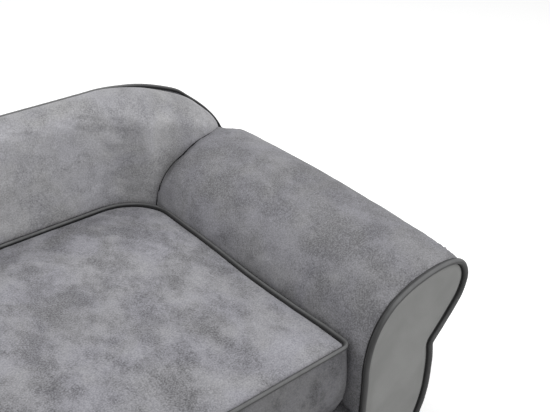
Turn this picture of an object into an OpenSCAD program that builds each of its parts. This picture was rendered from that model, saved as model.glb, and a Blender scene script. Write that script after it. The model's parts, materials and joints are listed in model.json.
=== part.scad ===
// Small dog sofa bed: rolled arms, piped covers, box seat cushion on a wooden base.
// Millimetres, +Z up, origin on the floor under the middle of the sofa, front towards -Y.

/* [Overall] */
// Clear width of the seat between the arms
seat_width = 430; // [340:10:640]
// Depth over the front and rear piping
overall_depth = 412; // [360:4:560]
// Height of the back over its piping
back_height = 310; // [290:5:380]
// Height of the deck that carries the cushion
deck_height = 106; // [100:2:120]
// Height of the feet
foot_height = 45; // [30:1:50]

/* [Arms] */
// Width of one arm over its front piping
arm_width = 135; // [126:1:150]
// Height of an arm over its front piping
arm_height = 241; // [230:1:260]
// Most that the padding of an arm swells
arm_crown = 10; // [0:1:12]
// Foam wrapped round an arm
arm_foam_t = 12; // [8:1:14]
// Curved board that is bent over the arm posts
roll_board_t = 3; // [2:0.5:4]
// Thickness of the scroll shaped arm posts
post_t = 15; // [9:1:18]
// Flat board on the outer side of an arm
outer_board_t = 9; // [6:1:10]
// From an arm's inner face to the outer side of its outer board
outer_board_reach = 75; // [70:1:76]

/* [Back] */
// From the rear piping forward to the face of the back at deck height
back_depth = 34; // [30:1:48]
// How far the face of the back leans away towards its top
back_lean = 8; // [0:1:14]
// How far the corners between back and arms are filled
corner_fill = 30; // [16:1:34]
// Width of each filled corner
corner_fill_width = 70; // [50:2:90]
// Radius at which the cover rolls over the top of the back
top_roll_r = 34; // [20:1:40]
// Radius at which the cover rolls round the ends of the back
tip_roll_r = 60; // [40:2:70]
// Thickness of the back board
back_board_t = 9; // [6:1:12]

/* [Cushion] */
// Height of the cushion up to the top of its piping
cushion_height = 81; // [70:1:95]
// Rise of the crowned top above the piping
cushion_crown = 12; // [4:1:18]
// How far the boxing draws in at its bottom edge
boxing_draw = 9; // [4:1:10]
// Gap between the cushion and each arm
cushion_side_gap = 0.8; // [0.6:0.1:3]
// Gap between the cushion's piping and the back
cushion_rear_gap = 2; // [1.5:0.5:6]
// From the front of the sofa back to the cushion's front edge
cushion_setback = 18; // [12:1:30]
// Radius of the cushion's front corners
front_corner_r = 16; // [14:1:30]
// Radius of the cushion's rear corners
rear_corner_r = 45; // [40:1:60]
// Depth left behind the boxing for the zip
zip_recess = 6; // [6:0.5:9]

/* [Covers] */
// Thickness of the plush and panel cloth
cloth_t = 1.5; // [1:0.1:2]
// Diameter of the piping
piping_d = 6; // [5:0.5:7]

/* [Base] */
// Thickness of the base rails
rail_t = 18; // [12:1:20]
// Thickness of the deck board
deck_board_t = 9; // [6:1:12]
// Foam pad under the deck cover
deck_pad_t = 8; // [4:1:10]
// Side of the square corner blocks
block_side = 48; // [46:1:48]
// Radius at the top of a foot
foot_top_r = 22; // [18:1:23]
// Radius at the bottom of a foot
foot_base_r = 16; // [12:1:20]
// Radius of the foot bolts
bolt_r = 4; // [3:0.5:5]

/* [Hidden] */

// Small common sizes
fit_gap = 0.3;
overrun = 1;
piping_r = piping_d / 2;
seam_gap = 0.1;
zip_length = 300;

// Main levels and planes
arm_x = seat_width / 2;
front_y = -overall_depth / 2;
rear_y = overall_depth / 2;
cover_front_y = front_y + piping_d + seam_gap;
cover_rear_y = rear_y - piping_d - seam_gap;
dust_cover_t = 0.6;
base_z = foot_height + dust_cover_t;
deck_board_z = deck_height - cloth_t - deck_pad_t - deck_board_t;
pad_z = deck_board_z + deck_board_t;
soft_base_z = deck_height + fit_gap;
panel_inset = piping_d + fit_gap;
cover_inset = piping_r - overrun;
foam_outer_inset = cover_inset + cloth_t + fit_gap;
foam_inner_inset = foam_outer_inset + arm_foam_t;
board_inset = foam_inner_inset + fit_gap;
post_inset = board_inset + roll_board_t + fit_gap;

// The front outline of an arm from its inner face over the roll to the notch:
// shares of the arm's width and of its height
arm_shares = [[0, 0.585], [0, 0.69], [0.026, 0.784], [0.079, 0.86], [0.159, 0.9225], [0.274, 0.958],
    [0.452, 0.99], [0.667, 1], [0.84, 0.986], [0.93, 0.958], [0.985, 0.912], [1, 0.865],
    [0.975, 0.805], [0.923, 0.755], [0.824, 0.683], [0.715, 0.612]];
// The outer side below the notch: shares of the arm's width and of the notch's height over the base
lower_shares = [[0.729, 0.82], [0.707, 0.517], [0.679, 0.326], [0.64, 0.185], [0.6, 0]];
// The shoulder of the back: shares of the arm's width, and of the rise from the arm to the back's top
shoulder_shares = [[-0.42, 1], [-0.16, 1], [0.11, 0.935], [0.32, 0.83], [0.574, 0.63], [0.7, 0.445],
    [0.837, 0.213]];
// The back's outline where it wraps the arm's roll: shares of the arm's width and height
back_roll_shares = [[0.97, 0.979], [1.06, 0.894], [1.074, 0.859], [1.044, 0.8], [0.985, 0.75],
    [0.85, 0.68], [0.715, 0.612]];
// Swell of an arm, fuller towards the back: shares of its length and of arm_crown
arm_crown_shares = [[0, 0], [0.06, 0.16], [0.15, 0.36], [0.29, 0.6], [0.44, 0.75], [0.61, 0.98], [0.72, 1],
    [0.83, 0.97], [0.93, 0.85], [0.975, 0.65], [1, 0.42]];
// Places of the sections along an arm, as shares of its length
arm_station_shares = [0, 0.04, 0.16, 0.38, 0.62, 0.84, 0.96, 1];
// Part of an arm's outline that stays flat against the cushion
flat_side_share = 0.2;
// Places of the sections across half of the back: shares of the width up to the arm's board,
// then of the width from there to the tip
back_column_shares = [0, 0.2, 0.4, 0.55, 0.63, 0.71, 0.794, 0.87, 0.95, 1];
back_tip_shares = [0, 0.38, 0.59, 0.77, 0.885, 0.955, 1];
// Heights of the points of each section of the back, as shares of its height there
back_row_shares = [0, 0.07, 0.3, 0.55, 0.72, 0.83, 0.91, 0.965, 1];
// Boxing of the cushion: shares of its height, of boxing_draw and of zip_recess
boxing_shares = [[0, 1, 1], [0.07, 0.8, 1], [0.2, 0.35, 1], [0.42, 0, 1], [0.65, 0, 1], [0.88, 0.2, 0.8],
    [1, 0.35, 0]];
// Rings of the cushion's top, as shares of the way from its edge to its centre
top_ring_shares = [0, 0.05, 0.15, 0.35, 0.6, 0.85];
clean_inset_share = 0.99;
spline_steps = 2;
piping_sides = 6;

function lerp(a, b, t) = a + (b - a) * t;
function last(list) = list[len(list) - 1];
function reversed(list) = [for (i = [len(list) - 1:-1:0]) list[i]];
function unit(v) = v / norm(v);
function total(list, i = 0) = i == len(list) - 1 ? list[i] : list[i] + total(list, i + 1);
function middle(points) = total(points) / len(points);
function curve_point(p, q, r, s, t) =
    ((2 * q) + (r - p) * t + (2 * p - 5 * q + 4 * r - s) * t * t + (3 * q - p - 3 * r + s) * t * t * t) / 2;
function spline(c, n = spline_steps) = concat(
    [for (i = [0:len(c) - 2]) for (j = [0:n - 1])
        curve_point(c[max(i - 1, 0)], c[i], c[i + 1], c[min(i + 2, len(c) - 1)], j / n)],
    [last(c)]);
function direction(p, i) = unit(p[min(i + 1, len(p) - 1)] - p[max(i - 1, 0)]);
// Moves each point of an open outline to the right of its direction of travel
function inset_by(p, d) = [for (i = [0:len(p) - 1]) let (t = direction(p, i)) p[i] + d[i] * [t[1], -t[0]]];
function inset(p, d) = inset_by(p, [for (q = p) d]);
function gap_to_line(q, a, b) = let (t = (q - a) * (b - a) / ((b - a) * (b - a)))
    norm(q - lerp(a, b, min(max(t, 0), 1)));
// The same without the points that cross over where the outline bends tighter than d
function clean_inset(p, d) = [for (q = inset(p, d))
    if (min([for (i = [0:len(p) - 2]) gap_to_line(q, p[i], p[i + 1])]) > clean_inset_share * d) q];
function round_edge(t) = t >= 1 ? 1 : sqrt(1 - pow(1 - max(t, 0), 2));

// Outlines in width and height, the width measured outwards from the arm's inner face
notch_z = last(arm_shares)[1] * arm_height;
arm_curve = spline(concat([[0, soft_base_z]],
    [for (s = arm_shares) [s[0] * arm_width, s[1] * arm_height]]));
lower_curve = [for (s = lower_shares) [s[0] * arm_width, lerp(base_z, notch_z, s[1])]];
lower_spline = spline(concat([last(arm_curve)], lower_curve));
front_outline = concat([[0, base_z]], arm_curve, [for (i = [1:len(lower_spline) - 1]) lower_spline[i]]);
shoulder_curve = spline(concat([[-arm_x, back_height]],
    [for (s = shoulder_shares) [s[0] * arm_width, lerp(arm_height, back_height, s[1])]],
    [for (s = back_roll_shares) [s[0] * arm_width, s[1] * arm_height]]));
back_outline = concat(shoulder_curve, [for (i = [1:len(lower_spline) - 1]) lower_spline[i]]);

// Surface through rings of points, closed into a loop or capped by fans round a middle point or by strips
module skin(rings, loop = false, strip = false) {
    n = len(rings[0]);
    m = len(rings);
    spans = loop ? m : m - 1;
    far = (m - 1) * n;
    walls = [for (i = [0:spans - 1]) for (j = [0:n - 1])
        let (a = i * n + j, b = i * n + (j + 1) % n, c = ((i + 1) % m) * n + (j + 1) % n,
            d = ((i + 1) % m) * n + j)
        each [[a, d, c], [a, c, b]]];
    fans = [for (j = [0:n - 1]) let (k = (j + 1) % n) each [[m * n, j, k], [m * n + 1, far + k, far + j]]];
    strips = [for (j = [0:n / 2 - 2])
        each [[j, j + 1, n - 2 - j], [j, n - 2 - j, n - 1 - j],
            [far + j, far + n - 2 - j, far + j + 1], [far + j, far + n - 1 - j, far + n - 2 - j]]];
    middles = loop || strip ? [] : [middle(rings[0]), middle(last(rings))];
    polyhedron(points = concat([for (r = rings) each r], middles),
        faces = concat(walls, loop ? [] : (strip ? strips : fans)));
}

// Round tube along a flat path whose plane is square to side
module tube(path, r, side, loop = false) {
    count = len(path);
    skin([for (i = [0:count - 1])
        let (t = loop ? unit(path[(i + 1) % count] - path[(i + count - 1) % count]) : direction(path, i),
            out = cross(side, t))
        [for (k = [0:piping_sides - 1])
            let (a = 360 * k / piping_sides) path[i] + r * cos(a) * out + r * sin(a) * side]], loop = loop);
}

module on_left() {
    mirror([1, 0, 0]) children();
}

// Upright plate with the given outline in X and Z between two depths
module plate_xz(points, y0, y1) {
    translate([0, y1, 0]) rotate([90, 0, 0]) linear_extrude(y1 - y0) polygon(points);
}

module box(low, high) {
    translate(low) cube(high - low);
}

/* Base */
rail_outer_x = arm_x + outer_board_reach - outer_board_t;
rail_inner_x = rail_outer_x - rail_t;
post_front_y = cover_front_y + fit_gap + cloth_t;
post_back_y = post_front_y + post_t;
back_board_back_y = cover_rear_y - fit_gap - cloth_t;
back_board_y = back_board_back_y - back_board_t;
front_rail_back_y = post_back_y + rail_t;
back_rail_y = back_board_y - rail_t;
block_z = deck_board_z - block_side / 2;
foot_x = rail_inner_x - block_side / 2;
foot_front_y = front_rail_back_y + block_side / 2;
foot_rear_y = back_rail_y - block_side / 2;

// Frame screws: place, direction as a turn, length
screw_r = 2;
screw_head_r = 4;
screw_head_t = 2.5;
screw_length = 30;
screw_play = 0.05;
screw_inset = 28;
rail_mid_z = (base_z + deck_board_z) / 2;
front_screw_x = arm_x + post_inset + screw_inset / 2;
rail_mid_x = (rail_inner_x + rail_outer_x) / 2;
screw_places = concat(
    [for (side = [-1, 1]) each [[[side * front_screw_x, post_front_y, rail_mid_z], [-90, 0, 0]],
        [[side * (front_screw_x + screw_inset), post_front_y, rail_mid_z], [-90, 0, 0]]]],
    [for (side = [-1, 1]) for (y = [front_rail_back_y + screw_inset, 0, back_rail_y - screw_inset])
        [[side * rail_mid_x, y, pad_z], [180, 0, 0]]],
    [for (x = [-rail_inner_x, -rail_inner_x / 2, rail_inner_x / 2, rail_inner_x])
        [[x, back_board_back_y, rail_mid_z], [90, 0, 0]]],
    [for (side = [-1, 1]) for (y = [post_back_y + screw_inset * 2, back_rail_y - screw_inset * 2])
        [[side * (arm_x + outer_board_reach), y, rail_mid_z], [0, -side * 90, 0]]]);

module screw(play) {
    cylinder(h = screw_head_t, r = screw_head_r + play, $fn = 24);
    translate([0, 0, screw_head_t]) cylinder(h = screw_length - screw_head_t, r = screw_r + play, $fn = 24);
}

module at_screws() {
    for (s = screw_places) translate(s[0]) rotate(s[1]) children();
}

module screwed() {
    difference() {
        children();
        at_screws() screw(screw_play);
    }
}

module front_rail() {
    color("burlywood") screwed()
        box([-rail_outer_x, post_back_y, base_z], [rail_outer_x, front_rail_back_y, deck_board_z]);
}

module back_rail() {
    color("burlywood") screwed()
        box([-rail_outer_x, back_rail_y, base_z], [rail_outer_x, back_board_y, deck_board_z]);
}

module side_rail() {
    color("burlywood") screwed()
        box([rail_inner_x, front_rail_back_y, base_z], [rail_outer_x, back_rail_y, deck_board_z]);
}

module centre_rail() {
    color("burlywood")
        box([-rail_t / 2, front_rail_back_y, base_z], [rail_t / 2, back_rail_y, deck_board_z]);
}

module at_feet() {
    for (x = [-foot_x, foot_x]) for (y = [foot_front_y, foot_rear_y]) translate([x, y, 0]) children();
}

// Foot fixing: a bolt up through the dust cover into a tee nut sunk in the block's top
tee_flange_r = 9;
tee_flange_t = 1.5;
tee_wall = 1.2;
tee_depth = 9;
bolt_top_z = deck_board_z - block_side / 2 + tee_depth;
bolt_sunk = 20;

module corner_blocks() {
    color("tan") at_feet() difference() {
        translate([-block_side / 2, -block_side / 2, base_z])
            cube([block_side, block_side, block_z - base_z]);
        translate([0, 0, base_z - overrun])
            cylinder(h = block_z - base_z + 2 * overrun, r = bolt_r + tee_wall + screw_play, $fn = 32);
    }
}

module tee_nuts() {
    color("silver") at_feet() difference() {
        union() {
            translate([0, 0, block_z - tee_depth]) cylinder(h = tee_depth, r = bolt_r + tee_wall, $fn = 32);
            translate([0, 0, block_z]) cylinder(h = tee_flange_t, r = tee_flange_r, $fn = 32);
        }
        translate([0, 0, block_z - tee_depth - overrun])
            cylinder(h = tee_depth + tee_flange_t + 2 * overrun, r = bolt_r + screw_play, $fn = 32);
    }
}

module foot_bolts() {
    color("silver") at_feet() translate([0, 0, foot_height - bolt_sunk])
        cylinder(h = block_z + tee_flange_t - foot_height + bolt_sunk, r = bolt_r, $fn = 32);
}

glide_t = 3;
glide_r = foot_base_r - 2 * fit_gap;
foot_round = 2;

module foot(x, y) {
    color("dimgray") translate([x, y, 0]) difference() {
        rotate_extrude($fn = 48) polygon([[0, glide_t], [foot_base_r - foot_round, glide_t],
            [foot_base_r, glide_t + foot_round], [foot_top_r, foot_height - foot_round],
            [foot_top_r - foot_round, foot_height], [0, foot_height]]);
        translate([0, 0, foot_height - bolt_sunk])
            cylinder(h = bolt_sunk + overrun, r = bolt_r + screw_play, $fn = 32);
    }
}

module foot_glides() {
    color("black") at_feet() cylinder(h = glide_t, r = glide_r - foot_round, $fn = 48);
}

module deck_board() {
    color("wheat") screwed()
        box([-rail_outer_x, post_back_y, deck_board_z], [rail_outer_x, back_board_y, pad_z]);
}

// Pad and cover of the deck, which turn down over the front of the base
deck_edge_x = arm_x + post_inset - fit_gap;
apron_y = cover_front_y;
apron_roll_r = 10;
deck_rear_y = back_board_y - fit_gap;

module apron_section(offset_in, bottom_z, past_rear = 0) {
    r = apron_roll_r - offset_in;
    front = apron_y + offset_in;
    top = deck_height - offset_in;
    polygon(concat([[front, bottom_z]],
        [for (i = [0:6]) let (a = 180 - 15 * i) [front + r + r * cos(a), top - r + r * sin(a)]],
        [[deck_rear_y + past_rear, top], [deck_rear_y + past_rear, bottom_z]]));
}

module along_x(half_length) {
    translate([-half_length, 0, 0]) rotate([90, 0, 90]) linear_extrude(2 * half_length) children();
}

module deck_pad() {
    color("ivory") difference() {
        along_x(deck_edge_x) apron_section(cloth_t, base_z);
        box([-rail_outer_x, post_back_y, base_z - overrun], [rail_outer_x, rear_y, pad_z]);
    }
}

module deck_cover() {
    color([0.45, 0.45, 0.47]) along_x(deck_edge_x) difference() {
        apron_section(0, base_z);
        apron_section(cloth_t, base_z - overrun, overrun);
    }
}

module dust_cover() {
    color([0.12, 0.12, 0.13]) difference() {
        box([-rail_outer_x, post_back_y, foot_height], [rail_outer_x, back_board_y, base_z]);
        at_feet() translate([0, 0, foot_height - overrun])
            cylinder(h = dust_cover_t + 2 * overrun, r = bolt_r + screw_play, $fn = 32);
    }
}

staple_width = 12;
staple_wire = 0.7;
staple_inset = 6;
staple_pitch = 60;

module staple_row(length, pitch) {
    count = floor(length / pitch);
    middle_x = (count - 1) / 2 * pitch + staple_width / 2;
    for (i = [0:count - 1])
        translate([i * pitch - middle_x, -staple_wire / 2, foot_height - staple_wire])
            cube([staple_width, staple_wire, staple_wire]);
}

module dust_cover_staples() {
    color("silver") for (side = [0, 180]) rotate([0, 0, side]) {
        translate([0, side == 0 ? post_back_y + staple_inset : staple_inset - back_board_y, 0])
            staple_row(2 * rail_inner_x, staple_pitch);
        translate([rail_outer_x - staple_inset, 0, 0]) rotate([0, 0, 90])
            staple_row(back_rail_y - front_rail_back_y, staple_pitch);
    }
}

/* Arms */
foam_front_y = cover_front_y + fit_gap;

// Face of the back, as a depth at a width and height; its corner fill starts no further in than the zip
fill_past_zip = 5;
fill_width = min(corner_fill_width, arm_x - zip_length / 2 + fill_past_zip);
function corner_share(x) = min(max((abs(x) - arm_x + fill_width) / fill_width, 0), 1);
function face_y(x, z) = rear_y - piping_r - back_depth - corner_fill * pow(corner_share(x), 3)
    + back_lean * (z - deck_height) / (back_height - deck_height);

// Swell of an arm at a share of its length and at a share of its outline
function length_crown(s) = lookup(s, arm_crown_shares);
function outline_crown(s) =
    s < flat_side_share ? 0 : sin(180 * (s - flat_side_share) / (1 - flat_side_share));
function arm_section(depth, s, swell) = let (n = len(arm_curve) - 1)
    inset_by(arm_curve, [for (i = [0:n]) depth - swell * length_crown(s) * outline_crown(i / n)]);
function arm_ring(outer, inner, s, swell_in, y0, end_gap) = [for (p = concat(arm_section(outer, s, arm_crown),
    reversed(arm_section(inner, s, swell_in))))
    let (x = arm_x + p[0])
    [x, lerp(y0, back_surface_y(x, p[1], 0, cover_inset) - end_gap, s), p[1]]];

module arm_cover() {
    color([0.55, 0.55, 0.57])
        skin([for (s = arm_station_shares)
            arm_ring(cover_inset, cover_inset + cloth_t, s, arm_crown, cover_front_y, 2 * fit_gap)],
            strip = true);
}

module arm_foam() {
    color("ivory")
        skin([for (s = arm_station_shares)
            arm_ring(foam_outer_inset, foam_inner_inset, s, 0, foam_front_y, 12 * fit_gap)],
            strip = true);
}

arm_end_y = face_y(arm_x, deck_height) - 2 * fit_gap;
module arm_roll_board() {
    color("peru") translate([arm_x, 0, 0])
        plate_xz(concat(inset(arm_curve, board_inset),
            reversed(inset(arm_curve, board_inset + roll_board_t))), post_front_y, arm_end_y);
}

function post_outline(reach, bottom_z) = concat([[post_inset, bottom_z]], clean_inset(arm_curve, post_inset),
    [[reach, notch_z - outer_board_t / 2], [reach, bottom_z]]);

module arm_front_post() {
    color("burlywood") screwed() translate([arm_x, 0, 0])
        plate_xz(post_outline(outer_board_reach, base_z), post_front_y, post_back_y);
}

module arm_rear_post() {
    color("burlywood") translate([arm_x, 0, 0])
        plate_xz(post_outline(outer_board_reach - outer_board_t, pad_z), arm_end_y - post_t, arm_end_y);
}

module arm_outer_board() {
    color("wheat") screwed() box([rail_outer_x, post_back_y, base_z],
        [arm_x + outer_board_reach, back_board_y, notch_z - outer_board_t / 2]);
}

function lower_inset(d) = inset(lower_spline, d);
module arm_outer_padding() {
    color("ivory") translate([arm_x, 0, 0])
        plate_xz(concat([for (p = lower_inset(foam_outer_inset)) [p[0], max(p[1], base_z)]],
            [[outer_board_reach, base_z], [outer_board_reach, notch_z - outer_board_t / 2]]),
            post_front_y, back_board_y - fit_gap);
}

module arm_outer_panel() {
    color([0.5, 0.5, 0.52]) translate([arm_x, 0, 0])
        plate_xz([for (p = concat(lower_inset(cover_inset), reversed(lower_inset(cover_inset + cloth_t))))
            [p[0], max(p[1], base_z)]], cover_front_y, cover_rear_y);
}

module arm_front_panel() {
    color([0.5, 0.51, 0.5]) translate([arm_x, 0, 0])
        plate_xz([for (p = clean_inset(front_outline, panel_inset)) [p[0], max(p[1], base_z)]],
            cover_front_y - cloth_t, cover_front_y);
}

module arm_front_piping() {
    color([0.3, 0.3, 0.31])
        tube([for (p = inset(front_outline, piping_r)) [arm_x + p[0], front_y + piping_r, max(p[1], base_z)]],
            piping_r, [0, 1, 0]);
}

/* Back */
back_half_w = arm_x + max([for (p = shoulder_curve) p[0]]);
tip_index = [for (i = [0:len(shoulder_curve) - 1]) if (arm_x + shoulder_curve[i][0] == back_half_w) i][0];
top_table = [for (i = [0:tip_index]) [arm_x + shoulder_curve[i][0], shoulder_curve[i][1]]];
under_curve = [for (i = [len(shoulder_curve) - 1:-1:tip_index + 1])
    [arm_x + shoulder_curve[i][0], shoulder_curve[i][1]]];
well_x = rail_outer_x - 4 * fit_gap;
under_table = concat([[0, soft_base_z], [well_x - outer_board_t, soft_base_z],
    [well_x, notch_z + 2 * fit_gap], [under_curve[0][0], notch_z + 2 * fit_gap]], under_curve);
back_tip_h = 8;

// Lowest and highest height of the back at a width, edge in from its outline
function back_low(x, c, edge) = lookup(abs(x), under_table) + (abs(x) > well_x ? edge : c);
function back_high(x, c, edge) =
    max(lookup(abs(x), top_table) - edge, back_low(x, c, edge) + back_tip_h / 2);
// Depth coordinate of the back's cover, c deeper than its outside
function back_surface_y(x, z, c, edge) = let (
    over = round_edge((back_high(x, c, edge) - z) / (top_roll_r - c)),
    past_well = max(abs(x) - well_x, 0) / (back_half_w - well_x),
    under = round_edge((z - back_low(x, c, edge)) / (top_roll_r - c) + 1 - past_well),
    tip = round_edge((back_half_w - c - abs(x)) / (tip_roll_r - c)),
    depth = (cover_rear_y - face_y(x, z)) * over * (past_well > 0 ? under : 1) * tip)
    cover_rear_y - max(depth, 2 * cloth_t) + c;
function back_point(x, row, c, edge) = let (z = lerp(back_low(x, c, edge), back_high(x, c, edge), row))
    [x, back_surface_y(x, z, c, edge), z];
back_widths = concat([for (s = back_column_shares) s * (well_x - outer_board_t)],
    [for (s = back_tip_shares) lerp(well_x, back_half_w - cover_inset, s)]);
function back_columns(reach) = let (half = [for (x = back_widths) if (x <= reach) x])
    concat(reversed(half), [for (i = [1:len(half) - 1]) -half[i]]);
function back_front(x, c, edge) = [for (r = back_row_shares) back_point(x, r, c, edge)];

module inside_back_cover() {
    color([0.55, 0.55, 0.57])
        skin([for (x = back_columns(back_half_w)) concat(back_front(x, 0, cover_inset),
            reversed(back_front(x, cloth_t, cover_inset + cloth_t)))], strip = true);
}

back_foam_edge = 14;
back_foam_least_t = 3;
back_foam_rear_y = back_board_y - fit_gap;
module back_foam() {
    color("ivory")
        skin([for (x = back_columns(back_half_w - back_foam_edge))
            let (f = [for (p = back_front(x, cloth_t + 4 * fit_gap, back_foam_edge))
                [p[0], min(p[1], back_foam_rear_y - back_foam_least_t), p[2]]])
            concat(f, [for (p = reversed(f)) [p[0], back_foam_rear_y, p[2]]])], strip = true);
}

function full_outline(d) = let (p = clean_inset(back_outline, d))
    concat([for (q = p) [arm_x + q[0], max(q[1], base_z)]],
        [for (i = [len(p) - 1:-1:1]) [-arm_x - p[i][0], max(p[i][1], base_z)]]);

module back_board() {
    color("wheat") screwed() plate_xz(full_outline(post_inset), back_board_y, back_board_back_y);
}

module outside_back_panel() {
    color([0.5, 0.5, 0.52]) plate_xz(full_outline(panel_inset), cover_rear_y, cover_rear_y + cloth_t);
}

module back_piping() {
    half = inset(back_outline, piping_r);
    path = concat([for (q = reversed(half)) [-arm_x - q[0], max(q[1], base_z)]],
        [for (i = [1:len(half) - 1]) [arm_x + half[i][0], max(half[i][1], base_z)]]);
    color([0.3, 0.3, 0.31]) tube([for (q = path) [q[0], rear_y - piping_r, q[1]]], piping_r, [0, 1, 0]);
}

module frame_screws() {
    color("gold") at_screws() screw(0);
}

/* Cushion */
cushion_half_w = arm_x - cushion_side_gap;
cushion_front_y = front_y + cushion_setback;
cushion_rear_y = rear_y - piping_r - back_depth - cushion_rear_gap;
boxing_base_z = deck_height + cloth_t;
welt_z = deck_height + cushion_height - piping_r;
boxing_top_z = welt_z - piping_r - seam_gap;
welt_inset = last(boxing_shares)[1] * boxing_draw;
top_inset = welt_inset + piping_r + seam_gap;

function arc(centre, r, from_a, steps) =
    [for (i = [0:steps]) centre + r * [cos(from_a + 90 * i / steps), sin(from_a + 90 * i / steps)]];
function between(a, b, count) = [for (i = [1:count]) lerp(a, b, i / (count + 1))];
// Outline of the cushion from above, d in from its fullest line and rear further in at the back
function plan(d, rear) = let (
    w = cushion_half_w - d,
    rf = front_corner_r - d,
    rr = rear_corner_r - d,
    yf = cushion_front_y + d + rf,
    yr = cushion_rear_y - d - rear - rr,
    fr = arc([w - rf, yf], rf, -90, 3),
    br = arc([w - rr, yr], rr, 0, 5),
    bl = arc([rr - w, yr], rr, 90, 5),
    fl = arc([rf - w, yf], rf, 180, 3))
    concat(fr, between(last(fr), br[0], 2), br, between(last(br), bl[0], 3), bl,
        between(last(bl), fl[0], 2), fl, between(last(fl), fr[0], 3));
function ring(points, z) = [for (p = points) [p[0], p[1], z]];
function boxing_ring(s, c, top_z) = ring(plan(s[1] * boxing_draw + c, s[2] * zip_recess),
    lerp(boxing_base_z, top_z, s[0]));
function top_rings(d, drop) = let (outline = plan(d, 0), centre = [0, (cushion_front_y + cushion_rear_y) / 2])
    [for (k = top_ring_shares) ring([for (p = outline) lerp(p, centre, k)],
        welt_z - drop + cushion_crown * (1 - pow(1 - k, 3)))];

module cushion_bottom_cover() {
    color([0.25, 0.25, 0.26]) translate([0, 0, deck_height]) linear_extrude(cloth_t)
        polygon(plan(boxing_draw, zip_recess));
}

module cushion_boxing() {
    color([0.45, 0.45, 0.47]) skin(concat([for (s = boxing_shares) boxing_ring(s, 0, boxing_top_z)],
        reversed([for (s = boxing_shares) boxing_ring(s, cloth_t, boxing_top_z)])), loop = true);
}

module cushion_top_cover() {
    color([0.57, 0.57, 0.59]) skin(concat(reversed(top_rings(top_inset, cloth_t)), top_rings(top_inset, 0)));
}

module cushion_foam() {
    color("ivory") skin(concat([for (s = boxing_shares) boxing_ring(s, cloth_t + fit_gap, boxing_top_z)],
        top_rings(top_inset + cloth_t, cloth_t + fit_gap)));
}

module cushion_top_piping() {
    color([0.3, 0.3, 0.31])
        tube([for (p = plan(welt_inset, 0)) [p[0], p[1], welt_z]], piping_r, [0, 0, -1], loop = true);
}

// Zip across the rear boxing
zip_tape_w = 24;
zip_tape_t = 0.8;
zip_coil_r = 1.1;
slider_length = 9;
slider_width = 8;
slider_wall = 1;
slider_neck = 1.2;
stop_length = 3;
zip_z = lerp(boxing_base_z, boxing_top_z, (boxing_shares[3][0] + boxing_shares[4][0]) / 2);
zip_y = cushion_rear_y - zip_recess + seam_gap;
coil_y = zip_y + zip_tape_t + zip_coil_r;
slider_start_x = zip_length / 2 - stop_length - slider_length;

module zip_tape() {
    color([0.15, 0.15, 0.16])
        box([-zip_length / 2, zip_y, zip_z - zip_tape_w / 2],
            [zip_length / 2, zip_y + zip_tape_t, zip_z + zip_tape_w / 2]);
}

module zip_coil() {
    color([0.1, 0.1, 0.11]) translate([stop_length - zip_length / 2, coil_y, zip_z]) rotate([0, 90, 0])
        cylinder(h = zip_length - 2 * stop_length, r = zip_coil_r, $fn = 24);
}

module zip_end_stops() {
    color("silver") for (x = [-zip_length / 2, zip_length / 2 - stop_length])
        box([x, zip_y + zip_tape_t, zip_z - slider_width / 4],
            [x + stop_length, coil_y + zip_coil_r, zip_z + slider_width / 4]);
}

module zip_slider() {
    color("dimgray") difference() {
        box([slider_start_x, zip_y + zip_tape_t + fit_gap, zip_z - slider_width / 2],
            [slider_start_x + slider_length, coil_y + zip_coil_r + fit_gap + slider_wall,
                zip_z + slider_width / 2]);
        translate([slider_start_x - overrun, coil_y, zip_z]) rotate([0, 90, 0])
            cylinder(h = slider_length + 2 * overrun, r = zip_coil_r + fit_gap, $fn = 24);
        box([slider_start_x - overrun, zip_y, zip_z - slider_neck],
            [slider_start_x + slider_length + overrun, coil_y, zip_z + slider_neck]);
    }
}

front_rail();
back_rail();
on_left() side_rail();  // side_rail_left
side_rail();  // side_rail_right
centre_rail();
corner_blocks();
deck_board();
deck_pad();
deck_cover();
on_left() arm_front_post();  // arm_front_post_left
arm_front_post();  // arm_front_post_right
on_left() arm_rear_post();  // arm_rear_post_left
arm_rear_post();  // arm_rear_post_right
on_left() arm_roll_board();  // arm_roll_board_left
arm_roll_board();  // arm_roll_board_right
on_left() arm_outer_board();  // arm_outer_board_left
arm_outer_board();  // arm_outer_board_right
on_left() arm_outer_padding();  // arm_outer_padding_left
arm_outer_padding();  // arm_outer_padding_right
on_left() arm_outer_panel();  // arm_outer_panel_left
arm_outer_panel();  // arm_outer_panel_right
on_left() arm_foam();  // arm_foam_left
arm_foam();  // arm_foam_right
on_left() arm_cover();  // arm_cover_left
arm_cover();  // arm_cover_right
on_left() arm_front_panel();  // arm_front_panel_left
arm_front_panel();  // arm_front_panel_right
on_left() arm_front_piping();  // arm_front_piping_left
arm_front_piping();  // arm_front_piping_right
back_board();
back_foam();
inside_back_cover();
outside_back_panel();
back_piping();
frame_screws();
cushion_foam();
cushion_bottom_cover();
cushion_boxing();
cushion_top_cover();
cushion_top_piping();
zip_tape();
zip_coil();
zip_end_stops();
zip_slider();
foot(-foot_x, foot_front_y);  // foot_front_left
foot(foot_x, foot_front_y);  // foot_front_right
foot(-foot_x, foot_rear_y);  // foot_rear_left
foot(foot_x, foot_rear_y);  // foot_rear_right
foot_glides();
foot_bolts();
tee_nuts();
dust_cover();
dust_cover_staples();
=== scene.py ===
"""Looks of a small dog sofa bed: piped plush covers, a lift-out box cushion and a wooden base.

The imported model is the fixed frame. Every piece here is built in metres in that frame,
rides on one of its bodies, and gets its finish from nodes.
"""

import json
import logging
import math
from dataclasses import dataclass, field, replace
from enum import Enum
from typing import Callable, Optional, Sequence

import bmesh
import bpy
import numpy as np
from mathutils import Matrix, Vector, noise


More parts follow.
